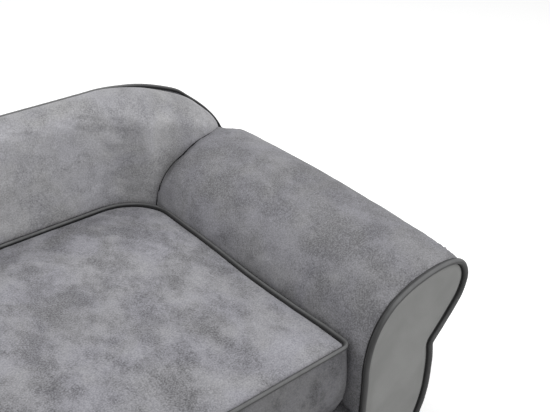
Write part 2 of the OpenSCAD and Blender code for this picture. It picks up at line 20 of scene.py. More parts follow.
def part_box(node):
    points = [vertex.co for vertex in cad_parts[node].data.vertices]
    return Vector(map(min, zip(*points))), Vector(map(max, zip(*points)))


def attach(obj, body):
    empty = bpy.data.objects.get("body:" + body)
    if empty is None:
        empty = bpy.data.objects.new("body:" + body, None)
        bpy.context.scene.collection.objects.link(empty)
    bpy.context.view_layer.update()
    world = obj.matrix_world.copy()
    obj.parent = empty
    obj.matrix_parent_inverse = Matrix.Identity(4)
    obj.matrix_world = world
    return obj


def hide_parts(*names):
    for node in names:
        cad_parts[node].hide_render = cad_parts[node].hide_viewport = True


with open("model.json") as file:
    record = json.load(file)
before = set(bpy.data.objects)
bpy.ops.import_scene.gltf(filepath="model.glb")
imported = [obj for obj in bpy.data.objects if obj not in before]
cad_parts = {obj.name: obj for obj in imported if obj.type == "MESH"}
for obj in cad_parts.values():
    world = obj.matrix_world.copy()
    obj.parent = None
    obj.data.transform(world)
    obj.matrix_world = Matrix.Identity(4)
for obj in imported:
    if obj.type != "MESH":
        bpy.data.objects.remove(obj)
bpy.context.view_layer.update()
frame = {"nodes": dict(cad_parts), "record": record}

LOG = logging.getLogger("dog_sofa")
MM = 0.001
ARM_WIDTH = 135 * MM
HALF_DEPTH = 206 * MM
HEM_RISE = 1 * MM

Point = tuple[float, float]
Colour = tuple[float, float, float]


class Side(Enum):
    """The two ends of the sofa, with the sign of their X."""

    LEFT = -1
    RIGHT = 1

    @property
    def word(self) -> str:
        """The word that node names end in."""
        return self.name.lower()


class Body(Enum):
    """The rigid bodies that the pieces made here ride on."""

    SOFA = "sofa"
    CUSHION = "cushion"


# Sizes and outlines


@dataclass(frozen=True)
class SofaSizes:
    """Main sizes of the sofa in metres, read from the frame where a node shows them."""

    arm_x: float
    arm_width: float
    arm_height: float
    back_height: float
    deck_height: float
    base_z: float
    front_y: float
    rear_y: float
    piping_r: float = 3 * MM
    cord_r: float = 2.75 * MM
    cushion_cord_r: float = 2.3 * MM
    cloth_t: float = 1.5 * MM
    cover_inset: float = 2 * MM
    arm_crown: float = 12.2 * MM
    back_depth: float = 34 * MM
    back_lean: float = 8 * MM
    corner_fill: float = 32 * MM
    corner_fill_width: float = 70 * MM
    top_roll_r: float = 34 * MM
    tip_roll_r: float = 75 * MM
    cushion_setback: float = 18 * MM
    cushion_height: float = 81 * MM
    cushion_crown: float = 12 * MM
    cushion_side_gap: float = 0.8 * MM
    cushion_rear_gap: float = 2 * MM
    boxing_draw: float = 9 * MM
    front_corner_r: float = 10.5 * MM
    rear_corner_r: float = 57 * MM
    zip_recess: float = 6 * MM

    @classmethod
    def from_frame(cls) -> "SofaSizes":
        """Reads the sizes that the nodes' boxes show.

        Returns:
            The sizes, with the arm measured over its front piping.
        """
        arm_low, arm_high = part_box("arm_front_piping_right")
        tops = {node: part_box(node)[1].z for node in ("back_piping", "deck_cover", "dust_cover")}
        return cls(arm_x=arm_low.x, arm_width=ARM_WIDTH, arm_height=arm_high.z,
                   back_height=tops["back_piping"], deck_height=tops["deck_cover"], base_z=tops["dust_cover"],
                   front_y=-HALF_DEPTH, rear_y=HALF_DEPTH)

    @property
    def cover_front_y(self) -> float:
        """Where the covers end behind the front piping."""
        return self.front_y + 2 * self.piping_r

    @property
    def cover_rear_y(self) -> float:
        """Where the covers end in front of the rear piping."""
        return self.rear_y - 2 * self.piping_r


def lerp(a: float, b: float, t: float) -> float:
    """Value at share t of the way from a to b."""
    return a + (b - a) * t


def smooth(t: float) -> float:
    """Share t eased at both ends."""
    t = min(max(t, 0.0), 1.0)
    return t * t * (3 - 2 * t)


def round_edge(t: float) -> float:
    """Height of a quarter circle at share t of its radius."""
    return 1.0 if t >= 1 else math.sqrt(1 - (1 - max(t, 0.0)) ** 2)


def follow(table: Sequence[Sequence[float]], place: float, column: int = 1) -> float:
    """Value that a column of a table gives at a place, straight between its rows."""
    rows = np.array(table)
    return float(np.interp(place, rows[:, 0], rows[:, column]))


def spline(points: Sequence[Point], steps: int) -> list[Point]:
    """Smooth curve through points.

    Args:
        points: The points that the curve passes through.
        steps: Pieces between each two points.

    Returns:
        Points along the curve, the given ones among them.
    """
    out: list[Point] = []
    for i in range(len(points) - 1):
        p, q, r, s = points[max(i - 1, 0)], points[i], points[i + 1], points[min(i + 2, len(points) - 1)]
        for j in range(steps):
            t = j / steps
            out.append(tuple((2 * q[k] + (r[k] - p[k]) * t + (2 * p[k] - 5 * q[k] + 4 * r[k] - s[k]) * t * t
                              + (3 * q[k] - p[k] - 3 * r[k] + s[k]) * t ** 3) / 2 for k in (0, 1)))
    out.append(tuple(points[-1]))
    return out


def spread(points: Sequence[Point], count: int) -> list[Point]:
    """Places count points at even steps along a curve.

    Args:
        points: The curve.
        count: How many points to place.

    Returns:
        The evenly placed points, with both ends.
    """
    array = np.array(points)
    along = np.concatenate([[0], np.cumsum(np.linalg.norm(np.diff(array, axis=0), axis=1))])
    places = np.linspace(0, along[-1], count)
    return [tuple(float(np.interp(d, along, array[:, k])) for k in (0, 1)) for d in places]


def inset(points: Sequence[Point], depths: Sequence[float]) -> list[Point]:
    """Moves each point of an open outline to the right of its direction of travel.

    Args:
        points: The outline.
        depths: How far each point moves.

    Returns:
        The moved points.
    """
    out = []
    for i, (p, d) in enumerate(zip(points, depths)):
        a, b = points[max(i - 1, 0)], points[min(i + 1, len(points) - 1)]
        tx, tz = b[0] - a[0], b[1] - a[1]
        length = math.hypot(tx, tz) or 1
        out.append((p[0] + d * tz / length, p[1] - d * tx / length))
    return out


class ArmProfile:
    """Front outline of an arm: up its inner face, over the roll, to the notch, and down outside."""

    ROLL_SHARES = [(0.008, 0.585), (0.01, 0.69), (0.041, 0.784), (0.1, 0.857), (0.178, 0.909), (0.28, 0.949),
                   (0.452, 0.982), (0.667, 0.996), (0.84, 0.985), (0.93, 0.958), (0.981, 0.912),
                   (0.993, 0.865), (0.963, 0.805), (0.905, 0.757), (0.8, 0.689), (0.69, 0.624)]
    LOWER_SHARES = [(0.706, 0.8), (0.698, 0.505), (0.668, 0.318), (0.628, 0.18), (0.588, 0)]
    REAR_SPREAD = 2.2 * MM
    REAR_SPREAD_END_SHARE = 0.3
    REAR_SPREAD_EASE_SHARE = 0.25
    FLAT_SIDE_SHARE = 0.2
    SWELL_SHARES = [(0, 0), (0.0075, 0.075), (0.0225, 0.16), (0.052, 0.32), (0.097, 0.51), (0.165, 0.66),
                    (0.239, 0.76), (0.314, 0.84), (0.389, 0.92), (0.464, 0.96), (0.539, 0.99), (0.651, 1.01),
                    (0.726, 0.985), (0.8, 0.85), (0.838, 0.66), (0.85, 0.57), (0.875, 0.39), (0.9, 0.2),
                    (0.925, -0.04), (0.95, -0.3), (0.975, -0.5), (1, -0.7)]
    END_ROLL_SHARE = 0.05
    END_ROLL_DEPTH_SHARE = 1.1
    INNER_SHARE = 0.42
    INNER_EASE_SHARE = 0.12

    def __init__(self, sizes: SofaSizes, steps: int = 6) -> None:
        """Samples the outline.

        Args:
            sizes: The sofa's sizes.
            steps: Pieces between each two points of the outline.
        """
        self.sizes = sizes
        w, h = sizes.arm_width, sizes.arm_height
        self.notch_z = self.ROLL_SHARES[-1][1] * h
        self.roll = spline([(0, sizes.deck_height)] + [(u * w, v * h) for u, v in self.ROLL_SHARES], steps)
        lower = [(u * w, lerp(sizes.base_z, self.notch_z, v)) for u, v in self.LOWER_SHARES]
        self.lower = spline([self.roll[-1]] + lower, steps)
        self.front = [(0.0, sizes.base_z)] + self.roll + self.lower[1:]

    def rear_spread(self, share: float) -> float:
        """How much fuller the arm's inner side is at the back than at the front."""
        past = (share - self.REAR_SPREAD_END_SHARE) / self.REAR_SPREAD_EASE_SHARE
        return self.REAR_SPREAD * (1 - smooth(past))

    def crown(self, share: float) -> float:
        """How much of the arm's swell shows at a share of the outline."""
        if share < self.FLAT_SIDE_SHARE:
            return 0.0
        return math.sin(math.pi * (share - self.FLAT_SIDE_SHARE) / (1 - self.FLAT_SIDE_SHARE))

    def swell(self, y: float, share: float, outline_share: float) -> float:
        """How far the padding swells.

        Args:
            y: Depth in the sofa.
            share: Share of the way from the arm's front to where it meets the back.
            outline_share: Share of the outline, from the seat over the roll.

        Returns:
            The swell, rolled down to nothing where the arm's inner face meets the back.
        """
        s = self.sizes
        along = (y - s.cover_front_y) / (s.cover_rear_y - s.cover_front_y)
        inner = 1 - smooth((outline_share - self.INNER_SHARE) / self.INNER_EASE_SHARE)
        end = smooth((share - 1 + self.END_ROLL_SHARE) / self.END_ROLL_SHARE)
        rolled = 1 - self.END_ROLL_DEPTH_SHARE * inner * end
        full = s.arm_crown * follow(self.SWELL_SHARES, along) * rolled
        return full * self.crown(outline_share)


class BackForm:
    """Outline of the back and the surface of its padded front."""

    SHOULDER_SHARES = [(-0.42, 1), (-0.16, 1), (0.11, 0.935), (0.32, 0.83), (0.574, 0.63), (0.7, 0.445),
                       (0.837, 0.213)]
    CREASE_DIP = 3 * MM
    CREASE_REACH = 6 * MM
    WELL_REACH = 65 * MM
    WELL_EDGE = 9 * MM
    LEAST_HEIGHT = 4 * MM
    ARM_LINE_POINTS = 240
    ARM_LINE_KEPT = 170
    ROLL_SHARES = [(0.97, 0.979), (1.06, 0.894), (1.074, 0.859), (1.044, 0.8), (0.985, 0.75), (0.84, 0.686),
                   (0.69, 0.624)]

    def __init__(self, sizes: SofaSizes, arm: ArmProfile, steps: int = 6) -> None:
        """Samples the outline of the right half.

        Args:
            sizes: The sofa's sizes.
            arm: The arm's outline, whose lower side the back shares.
            steps: Pieces between each two points of the outline.
        """
        self.sizes = s = sizes
        shoulder = [(u * s.arm_width, lerp(s.arm_height, s.back_height, v)) for u, v in self.SHOULDER_SHARES]
        roll = [(u * s.arm_width, v * s.arm_height) for u, v in self.ROLL_SHARES]
        curve = spline([(-s.arm_x, s.back_height)] + shoulder + roll, steps)
        self.upper = [(s.arm_x + u, z) for u, z in curve]
        self.outline = self.upper + [(s.arm_x + u, z) for u, z in arm.lower[1:]]
        tip = max(range(len(self.upper)), key=lambda i: self.upper[i][0])
        self.half_w = self.upper[tip][0]
        top, under = np.array(self.upper[:tip + 1]), np.array(self.upper[:tip:-1])
        self.top = (np.maximum.accumulate(top[:, 0]), top[:, 1])
        self.well_x = s.arm_x + self.WELL_REACH
        notch = (under[0][0], arm.notch_z)
        count = self.ARM_LINE_POINTS
        line = inset(spread(arm.roll, count), [-arm.rear_spread(i / (count - 1)) for i in range(count)])
        self.arm_line = np.array([(s.arm_x + u, z) for u, z in line[:self.ARM_LINE_KEPT]])
        self.under = (np.concatenate([[0, self.well_x - self.WELL_EDGE, self.well_x, notch[0]], under[:, 0]]),
                      np.concatenate([[s.deck_height] * 2, [notch[1]] * 2, under[:, 1]]))

    def low(self, x: float, edge: float) -> float:
        """Lowest height of the back's cover at a width, edge in from the outline."""
        return float(np.interp(abs(x), *self.under)) + (edge if abs(x) > self.well_x else 0)

    def high(self, x: float, edge: float) -> float:
        """Highest height of the back's cover at a width, edge in from the outline."""
        return max(float(np.interp(abs(x), *self.top)) - edge, self.low(x, edge) + self.LEAST_HEIGHT)

    def face_y(self, x: float, z: float) -> float:
        """Depth of the back's face before its edges are rounded."""
        s = self.sizes
        fill = min(max((abs(x) - s.arm_x + s.corner_fill_width) / s.corner_fill_width, 0), 1)
        lean = s.back_lean * (z - s.deck_height) / (s.back_height - s.deck_height)
        return s.rear_y - s.piping_r - s.back_depth - s.corner_fill * fill ** 3 + lean

    def crease_depth(self, x: float, z: float) -> float:
        """How deep the back's cover is drawn in beside an arm's inner face."""
        away = float(np.min(np.hypot(self.arm_line[:, 0] - abs(x), self.arm_line[:, 1] - z)))
        return self.CREASE_DIP * near(away, self.CREASE_REACH)

    def surface_y(self, x: float, z: float, edge: float) -> float:
        """Depth of the back's cover at a width and height.

        Args:
            x: Width from the middle.
            z: Height over the floor.
            edge: How far the cover lies in from the outline.

        Returns:
            The cover's Y.
        """
        s = self.sizes
        over = round_edge((self.high(x, edge) - z) / s.top_roll_r)
        past_well = max(abs(x) - self.well_x, 0) / (self.half_w - self.well_x)
        under = round_edge((z - self.low(x, edge)) / s.top_roll_r + 1 - past_well) if past_well else 1
        tip = round_edge((self.half_w - abs(x)) / s.tip_roll_r) ** 2
        depth = (s.cover_rear_y - self.face_y(x, z)) * over * under * tip
        return s.cover_rear_y - depth


class CushionForm:
    """Outline of the seat cushion from above, and the profile of its boxing."""

    BOXING_SHARES = [(0, 1, 1), (0.07, 0.8, 1), (0.2, 0.35, 1), (0.42, 0, 1), (0.65, 0, 1), (0.88, 0.2, 0.8),
                     (1, 0.35, 0)]
    SIDE_SPREAD = [(0, 3.8), (0.1, 3.9), (0.22, 1.9), (0.32, 1.1), (0.42, 1.1), (0.5, 2.2), (0.56, 3.1),
                   (0.66, 3.9), (0.85, 4.3), (1, 3)]
    SPREAD_INWARD_SHARES = [0.55, 1, 1, 0.4]

    def __init__(self, sizes: SofaSizes) -> None:
        """Works out the cushion's planes.

        Args:
            sizes: The sofa's sizes.
        """
        self.sizes = s = sizes
        self.half_w = s.arm_x - s.cushion_side_gap
        self.front_y = s.front_y + s.cushion_setback
        self.rear_y = s.rear_y - s.piping_r - s.back_depth - s.cushion_rear_gap
        self.welt_z = s.deck_height + s.cushion_height - s.piping_r
        self.welt_inset = self.BOXING_SHARES[-1][1] * s.boxing_draw

    def plan(self, d: float, rear: float, per_arc: int = 14, per_side: int = 46) -> list[Point]:
        """Outline from above, counter-clockwise from the front right corner.

        Args:
            d: How far the outline lies in from the fullest one.
            rear: How much further its rear side lies in.
            per_arc: Points of each corner.
            per_side: Points of each straight side.

        Returns:
            The outline's points.
        """
        s = self.sizes
        w, rf, rr = self.half_w - d, s.front_corner_r - d, s.rear_corner_r - d
        yf, yr = self.front_y + d + rf, self.rear_y - d - rear - rr
        corners = [((w - rf, yf), rf, -90), ((w - rr, yr), rr, 0), ((rr - w, yr), rr, 90),
                   ((rf - w, yf), rf, 180)]
        arcs = [[(c[0] + r * math.cos(math.radians(a + 90 * i / per_arc)),
                  c[1] + r * math.sin(math.radians(a + 90 * i / per_arc))) for i in range(per_arc + 1)]
                for c, r, a in corners]
        out: list[Point] = []
        for i, arc in enumerate(arcs):
            a, b = arc[-1], arcs[(i + 1) % len(arcs)][0]
            out += arc + [(lerp(a[0], b[0], k / (per_side + 1)), lerp(a[1], b[1], k / (per_side + 1)))
                          for k in range(1, per_side + 1)]
        return [(x * (1 + self.side_spread(d, y) / w), y) for x, y in out]

    def side_spread(self, d: float, y: float) -> float:
        """How much wider each side is where the stuffing fills it, d in from the fullest outline."""
        full = follow(self.SIDE_SPREAD, (y - self.front_y) / (self.rear_y - self.front_y)) * MM
        stops = [k * self.welt_inset for k in range(4)]
        return full * float(np.interp(d, stops, self.SPREAD_INWARD_SHARES))

    def boxing(self, share: float) -> tuple[float, float]:
        """Inset of the boxing and of its rear at a share of its height."""
        side, rear = (follow(self.BOXING_SHARES, share, k) for k in (1, 2))
        return side * self.sizes.boxing_draw, rear * self.sizes.zip_recess


# Meshes


def linked(name: str, data: Optional[bpy.types.ID]) -> bpy.types.Object:
    """Makes an object of its data and puts it into the scene."""
    obj = bpy.data.objects.new(name, data)
    bpy.context.scene.collection.objects.link(obj)
    return obj


def mesh_object(name: str, points: Sequence[Sequence[float]],
                faces: Sequence[Sequence[int]]) -> bpy.types.Object:
    """Makes a smooth shaded object.

    Args:
        name: The piece's name.
        points: Its corners in the shared frame.
        faces: Its faces as lists of corner numbers.

    Returns:
        The linked object, at the origin.
    """
    mesh = bpy.data.meshes.new(name)
    mesh.from_pydata([tuple(p) for p in points], [], [tuple(f) for f in faces])
    mesh.update()
    mesh.polygons.foreach_set("use_smooth", [True] * len(mesh.polygons))
    return linked(name, mesh)


def grid_object(name: str, rows: Sequence[Sequence[Sequence[float]]], wrap: bool = False, flip: bool = False,
                close_ends: bool = False) -> bpy.types.Object:
    """Makes a surface through rows of points.

    Args:
        name: The piece's name.
        rows: Rows of equally many points.
        wrap: Joins the last point of each row to its first.
        flip: Turns the faces round.
        close_ends: Closes the first and last row with a fan.

    Returns:
        The linked object.
    """
    n, m = len(rows[0]), len(rows)
    points = [tuple(p) for row in rows for p in row]
    faces = []
    for i in range(m - 1):
        for j in range(n if wrap else n - 1):
            a, b = i * n + j, i * n + (j + 1) % n
            c, d = b + n, a + n
            faces.append((a, b, c, d) if flip else (a, d, c, b))
    if close_ends:
        for start, turned in ((0, flip), ((m - 1) * n, not flip)):
            middle = len(points)
            points.append(tuple(np.mean([points[start + j] for j in range(n)], axis=0)))
            for j in range(n):
                k = (j + 1) % n
                faces.append((middle, start + k, start + j) if turned else (middle, start + j, start + k))
    return mesh_object(name, points, faces)


def mirrored(points: Sequence[Sequence[float]], side: Side) -> list[tuple[float, float, float]]:
    """Points of the right end, turned to the given side."""
    return [(side.value * p[0], p[1], p[2]) for p in points]


def displace(obj: bpy.types.Object, height: Callable[[Vector], float]) -> None:
    """Moves each corner along its normal.

    Args:
        obj: The piece.
        height: Gives the move at a corner's place.
    """
    mesh = obj.data
    normals = [v.normal.copy() for v in mesh.vertices]
    for v, n in zip(mesh.vertices, normals):
        v.co += n * height(v.co)
    mesh.update()


def near(distance: float, reach: float) -> float:
    """Falls from 1 at a seam towards 0, with reach as its scale."""
    return math.exp(-max(distance, 0.0) / reach)


def ripple(p: Vector, scale: float, seed: float = 0.0) -> float:
    """Smooth noise between -1 and 1, scale metres from crest to crest."""
    return noise.noise((p + Vector((seed, seed * 0.7, seed * 1.3))) / scale)


def evaluated_mesh(obj: bpy.types.Object) -> bpy.types.Mesh:
    """A plain mesh of an object as its modifiers leave it."""
    depsgraph = bpy.context.evaluated_depsgraph_get()
    return bpy.data.meshes.new_from_object(obj.evaluated_get(depsgraph), depsgraph=depsgraph)


def thicken(obj: bpy.types.Object, thickness: float) -> None:
    """Gives a cover its cloth's thickness, inward, as plain mesh."""
    modifier = obj.modifiers.new("thickness", "SOLIDIFY")
    modifier.thickness, modifier.offset = thickness, -1
    mesh = evaluated_mesh(obj)
    obj.modifiers.clear()
    obj.data = mesh


@dataclass(frozen=True)
class ClothRun:
    """Settings of one cloth simulation of a stuffed cover."""

    pressure: float = 2.5
    slack: float = 0.012
    cap: float = 4 * MM
    frames: int = 18
    stiffness: float = 18.0
    bending: float = 0.4

    def relax(self, obj: bpy.types.Object, hold: Callable[[int, Vector], float]) -> None:
        """Lets the cover fill out between its seams, and keeps the result in the mesh.

        Args:
            obj: The cover.
            hold: Gives how firmly each corner is held, from 0 to 1.
        """
        start = [v.co.copy() for v in obj.data.vertices]
        holds = [min(max(hold(v.index, v.co), 0.0), 1.0) for v in obj.data.vertices]
        group = obj.vertex_groups.new(name="seams")
        for v, held in zip(obj.data.vertices, holds):
            group.add([v.index], held, "REPLACE")
        modifier = obj.modifiers.new("cloth", "CLOTH")
        settings = modifier.settings
        settings.quality = 6
        settings.mass = 0.2
        settings.tension_stiffness = settings.compression_stiffness = self.stiffness
        settings.shear_stiffness = self.stiffness / 2
        settings.bending_stiffness = self.bending
        settings.vertex_group_mass = group.name
        settings.use_pressure = True
        settings.uniform_pressure_force = self.pressure
        settings.shrink_min = -self.slack
        settings.effector_weights.gravity = 0
        modifier.point_cache.frame_start, modifier.point_cache.frame_end = 1, self.frames
        modifier.collision_settings.use_collision = False
        scene = bpy.context.scene
        for step in range(1, self.frames + 1):
            scene.frame_set(step)
        depsgraph = bpy.context.evaluated_depsgraph_get()
        moved = [v.co.copy() for v in obj.evaluated_get(depsgraph).data.vertices]
        obj.modifiers.clear()
        obj.vertex_groups.clear()
        for v, a, b, held in zip(obj.data.vertices, start, moved, holds):
            shift = b - a
            if shift.length > self.cap:
                shift *= self.cap / shift.length
            v.co = a + shift * (1 - held)
        obj.data.update()
        scene.frame_set(1)


# Shader node groups and finishes


class Nodes:
    """Short hand for building a node tree."""

    def __init__(self, tree: bpy.types.NodeTree) -> None:
        """Keeps the tree."""
        self.tree = tree

    def feed(self, socket: bpy.types.NodeSocket, value: object) -> None:
        """Links another socket to this one, or sets its value."""
        if isinstance(value, bpy.types.NodeSocket):
            self.tree.links.new(value, socket)
        else:
            socket.default_value = value

    def add(self, kind: str, inputs: Optional[dict] = None, **values: object) -> bpy.types.Node:
        """Adds a node, sets its values and links or sets its inputs.

        Args:
            kind: The node's type.
            inputs: Input names or numbers, each with a socket or a value.
            values: The node's own properties.

        Returns:
            The node.
        """
        node = self.tree.nodes.new(kind)
        for key, value in values.items():
            setattr(node, key, value)
        for key, value in (inputs or {}).items():
            self.feed(node.inputs[key], value)
        return node

    def maths(self, operation: str, a: object, b: object = 0.0) -> bpy.types.NodeSocket:
        """Adds a Math node and gives its output."""
        return self.add("ShaderNodeMath", {0: a, 1: b}, operation=operation).outputs[0]

    def noise(self, vector: bpy.types.NodeSocket, scale: object, detail: float = 2.0, distortion: float = 0.0,
              roughness: float = 0.5) -> bpy.types.NodeSocket:
        """Adds a Noise Texture and gives its value."""
        inputs = {"Vector": vector, "Scale": scale, "Detail": detail, "Distortion": distortion,
                  "Roughness": roughness}
        return self.add("ShaderNodeTexNoise", inputs).outputs["Fac"]

    def ramp(self, fac: bpy.types.NodeSocket, stops: Sequence[tuple[float, object]]) -> bpy.types.NodeSocket:
        """Adds a Color Ramp with the given stops and gives its colour.

        Args:
            fac: What the ramp reads.
            stops: Places, each with a grey value or a colour.

        Returns:
            The ramp's colour socket.
        """
        node = self.add("ShaderNodeValToRGB", {"Fac": fac})
        elements = node.color_ramp.elements
        while len(elements) < len(stops):
            elements.new(0.5)
        for element, (place, value) in zip(elements, stops):
            element.position = place
            element.color = (value,) * 3 + (1,) if isinstance(value, (int, float)) else tuple(value) + (1,)
        return node.outputs["Color"]

    def mix(self, fac: object, a: object, b: object, blend: str = "MIX") -> bpy.types.NodeSocket:
        """Adds a colour Mix node and gives its result."""
        node = self.add("ShaderNodeMix", data_type="RGBA", blend_type=blend)
        self.feed(node.inputs[0], fac)
        for key, colour in ((6, a), (7, b)):
            linkable = isinstance(colour, bpy.types.NodeSocket)
            self.feed(node.inputs[key], colour if linkable else tuple(colour) + (1,))
        return node.outputs[2]


def fresh_nodes(owner: bpy.types.ID) -> Nodes:
    """Empties the node tree of a material or a world, ready to be built."""
    owner.use_nodes = True
    owner.node_tree.nodes.clear()
    return Nodes(owner.node_tree)


GroupFill = Callable[[Nodes, bpy.types.Node], dict[str, bpy.types.NodeSocket]]


class GroupMaker:
    """Builds the shader node groups that several materials use, each once."""

    def __init__(self) -> None:
        """Starts with no groups."""
        self.made: dict[str, bpy.types.NodeTree] = {}

    def group(self, name: str, inputs: dict[str, float], outputs: Sequence[str],
              build: GroupFill) -> bpy.types.NodeTree:
        """Makes a group on its first use.

        Args:
            name: The group's name.
            inputs: Names of its number inputs and their first values.
            outputs: Names of its number outputs.
            build: Fills the tree and gives the sockets of the outputs.

        Returns:
            The group's tree.
        """
        if name in self.made:
            return self.made[name]
        tree = bpy.data.node_groups.new(name, "ShaderNodeTree")
        tree.interface.new_socket("Vector", in_out="INPUT", socket_type="NodeSocketVector")
        number = "NodeSocketFloat"
        for key, value in inputs.items():
            tree.interface.new_socket(key, in_out="INPUT", socket_type=number).default_value = value
        for key in outputs:
            tree.interface.new_socket(key, in_out="OUTPUT", socket_type=number)
        nodes = Nodes(tree)
        entry = nodes.add("NodeGroupInput")
        results = build(nodes, entry)
        nodes.add("NodeGroupOutput", results)
        self.made[name] = tree
        return tree

    def crushed_nap(self) -> bpy.types.NodeTree:
        """Smudges where a short pile lies flat or stands up, with specks of pile in the dark ones."""
        def build(n: Nodes, entry: bpy.types.Node) -> dict[str, bpy.types.NodeSocket]:
            vector, scale = entry.outputs["Vector"], entry.outputs["Patch Scale"]
            brushed = n.add("ShaderNodeMapping", {"Vector": vector, "Rotation": (0.5, 0.3, 0.7),
                                                  "Scale": (1.0, 0.7, 0.85)}).outputs[0]
            wide = n.noise(brushed, n.maths("MULTIPLY", scale, 0.4), 3.0, 0.0, 0.5)
            cloud = n.noise(brushed, scale, 6.0, 0.15, 0.62)
            flake = n.noise(brushed, n.maths("MULTIPLY", scale, 2.3), 4.0, 0.0, 0.7)
            level = n.maths("ADD", n.maths("MULTIPLY", wide, 0.5),
                            n.maths("ADD", cloud, n.maths("MULTIPLY", flake, 0.5)))
            level = n.maths("SUBTRACT", level, 0.5)
            dark = n.add("ShaderNodeMapRange", {"Value": level, "From Min": 0.6, "From Max": 0.34},
                         interpolation_type="SMOOTHSTEP").outputs[0]
            fine = n.noise(vector, entry.outputs["Grain Scale"], 1.0, 0.0, 0.6)
            depth = n.maths("MULTIPLY", entry.outputs["Grain Depth"],
                            n.maths("ADD", n.maths("MULTIPLY", dark, 0.2), 0.6))
            speck = n.maths("MULTIPLY", n.maths("SUBTRACT", fine, 0.5), depth)
            tone = n.maths("SUBTRACT", n.maths("ADD", n.maths("MULTIPLY", level, 0.75), speck),
                           n.maths("MULTIPLY", dark, 0.16))
            tone = n.maths("ADD", tone, 0.165)
            tint = n.noise(vector, n.maths("MULTIPLY", scale, 0.7), 2.0, 0.4, 0.5)
            height = n.maths("ADD", n.maths("MULTIPLY", level, 0.4), n.maths("MULTIPLY", fine, 0.5))
            return {"Tone": tone, "Tint": tint, "Height": height}
        return self.group("crushed_nap", {"Patch Scale": 30.0, "Grain Scale": 650.0, "Grain Depth": 0.8},
                          ("Tone", "Tint", "Height"), build)

    def weave(self) -> bpy.types.NodeTree:
        """Crossed threads of a woven cloth or tape."""
        def build(n: Nodes, entry: bpy.types.Node) -> dict[str, bpy.types.NodeSocket]:
            scaled = n.add("ShaderNodeVectorMath", {0: entry.outputs["Vector"],
                                                    "Scale": entry.outputs["Threads"]}, operation="SCALE")
            x, y, z = n.add("ShaderNodeSeparateXYZ", {0: scaled.outputs[0]}).outputs
            slant = n.maths("ADD", x, n.maths("ADD", y, z))
            other = n.maths("SUBTRACT", x, n.maths("SUBTRACT", y, z))
            height = n.maths("MULTIPLY", n.maths("ADD", n.maths("SINE", slant), 1.0),
                             n.maths("ADD", n.maths("SINE", other), 1.0))
            return {"Height": n.maths("MULTIPLY", height, 0.25)}
        return self.group("weave", {"Threads": 4000.0}, ("Height",), build)


GROUPS = GroupMaker()


@dataclass(frozen=True)
class Finish:
    """A material's name and the values that all finishes share."""

    name: str
    colour: Colour
    roughness: float = 0.9
    sheen: float = 0.0
    sheen_roughness: float = 0.45
    gloss: float = 0.25
    metallic: float = 0.0
    bump: float = 0.4
    bump_height: float = 0.3 * MM
    # Painted light and shade: colour scaled by how far the surface faces one way.
    faded: float = 1.0
    faded_from: float = 0.6
    faded_toward: tuple[float, float, float] = (0.0, -0.55, 0.835)

    def worn(self, nodes: Nodes, colour: bpy.types.NodeSocket) -> bpy.types.NodeSocket:
        """Colour made lighter or darker where the surface faces one way: painted light and painted shade."""
        if self.faded == 1:
            return colour
        normal = nodes.add("ShaderNodeNewGeometry").outputs["Normal"]
        facing = nodes.add("ShaderNodeVectorMath", {0: normal, 1: self.faded_toward},
                           operation="DOT_PRODUCT").outputs["Value"]
        share = nodes.add("ShaderNodeMapRange", {"Value": facing, "From Min": self.faded_from},
                          interpolation_type="SMOOTHSTEP").outputs[0]
        return nodes.mix(share, colour, nodes.mix(1.0, colour, (self.faded,) * 3, "MULTIPLY"))

    def material(self) -> bpy.types.Material:
        """Builds the material, or gives the one built before."""
        label = self.name + "_finish"
        if label in bpy.data.materials:
            return bpy.data.materials[label]
        made = bpy.data.materials.new(label)
        nodes = fresh_nodes(made)
        place = nodes.add("ShaderNodeTexCoord").outputs["Object"]
        colour, height, roughness = self.surface(nodes, place)
        bump = nodes.add("ShaderNodeBump", {"Height": height, "Strength": self.bump,
                                            "Distance": self.bump_height})
        # The base colour carries the painted light and painted shade by facing.
        shader = nodes.add("ShaderNodeBsdfPrincipled", {
            "Base Color": self.worn(nodes, colour), "Metallic": self.metallic, "Sheen Weight": self.sheen,
            "Roughness": self.roughness if roughness is None else roughness, "Normal": bump.outputs[0],
            "Sheen Roughness": self.sheen_roughness, "Specular IOR Level": self.gloss})
        nodes.add("ShaderNodeOutputMaterial", {"Surface": shader.outputs[0]}).is_active_output = True
        return made

    def surface(self, nodes: Nodes, place: bpy.types.NodeSocket) -> tuple:
        """Colour, height and roughness sockets of a fine moulded texture."""
        grain = nodes.noise(place, 700.0, 3.0)
        colour = nodes.ramp(grain, [(0.3, tuple(c * 0.85 for c in self.colour)), (0.7, self.colour)])
        return colour, grain, None


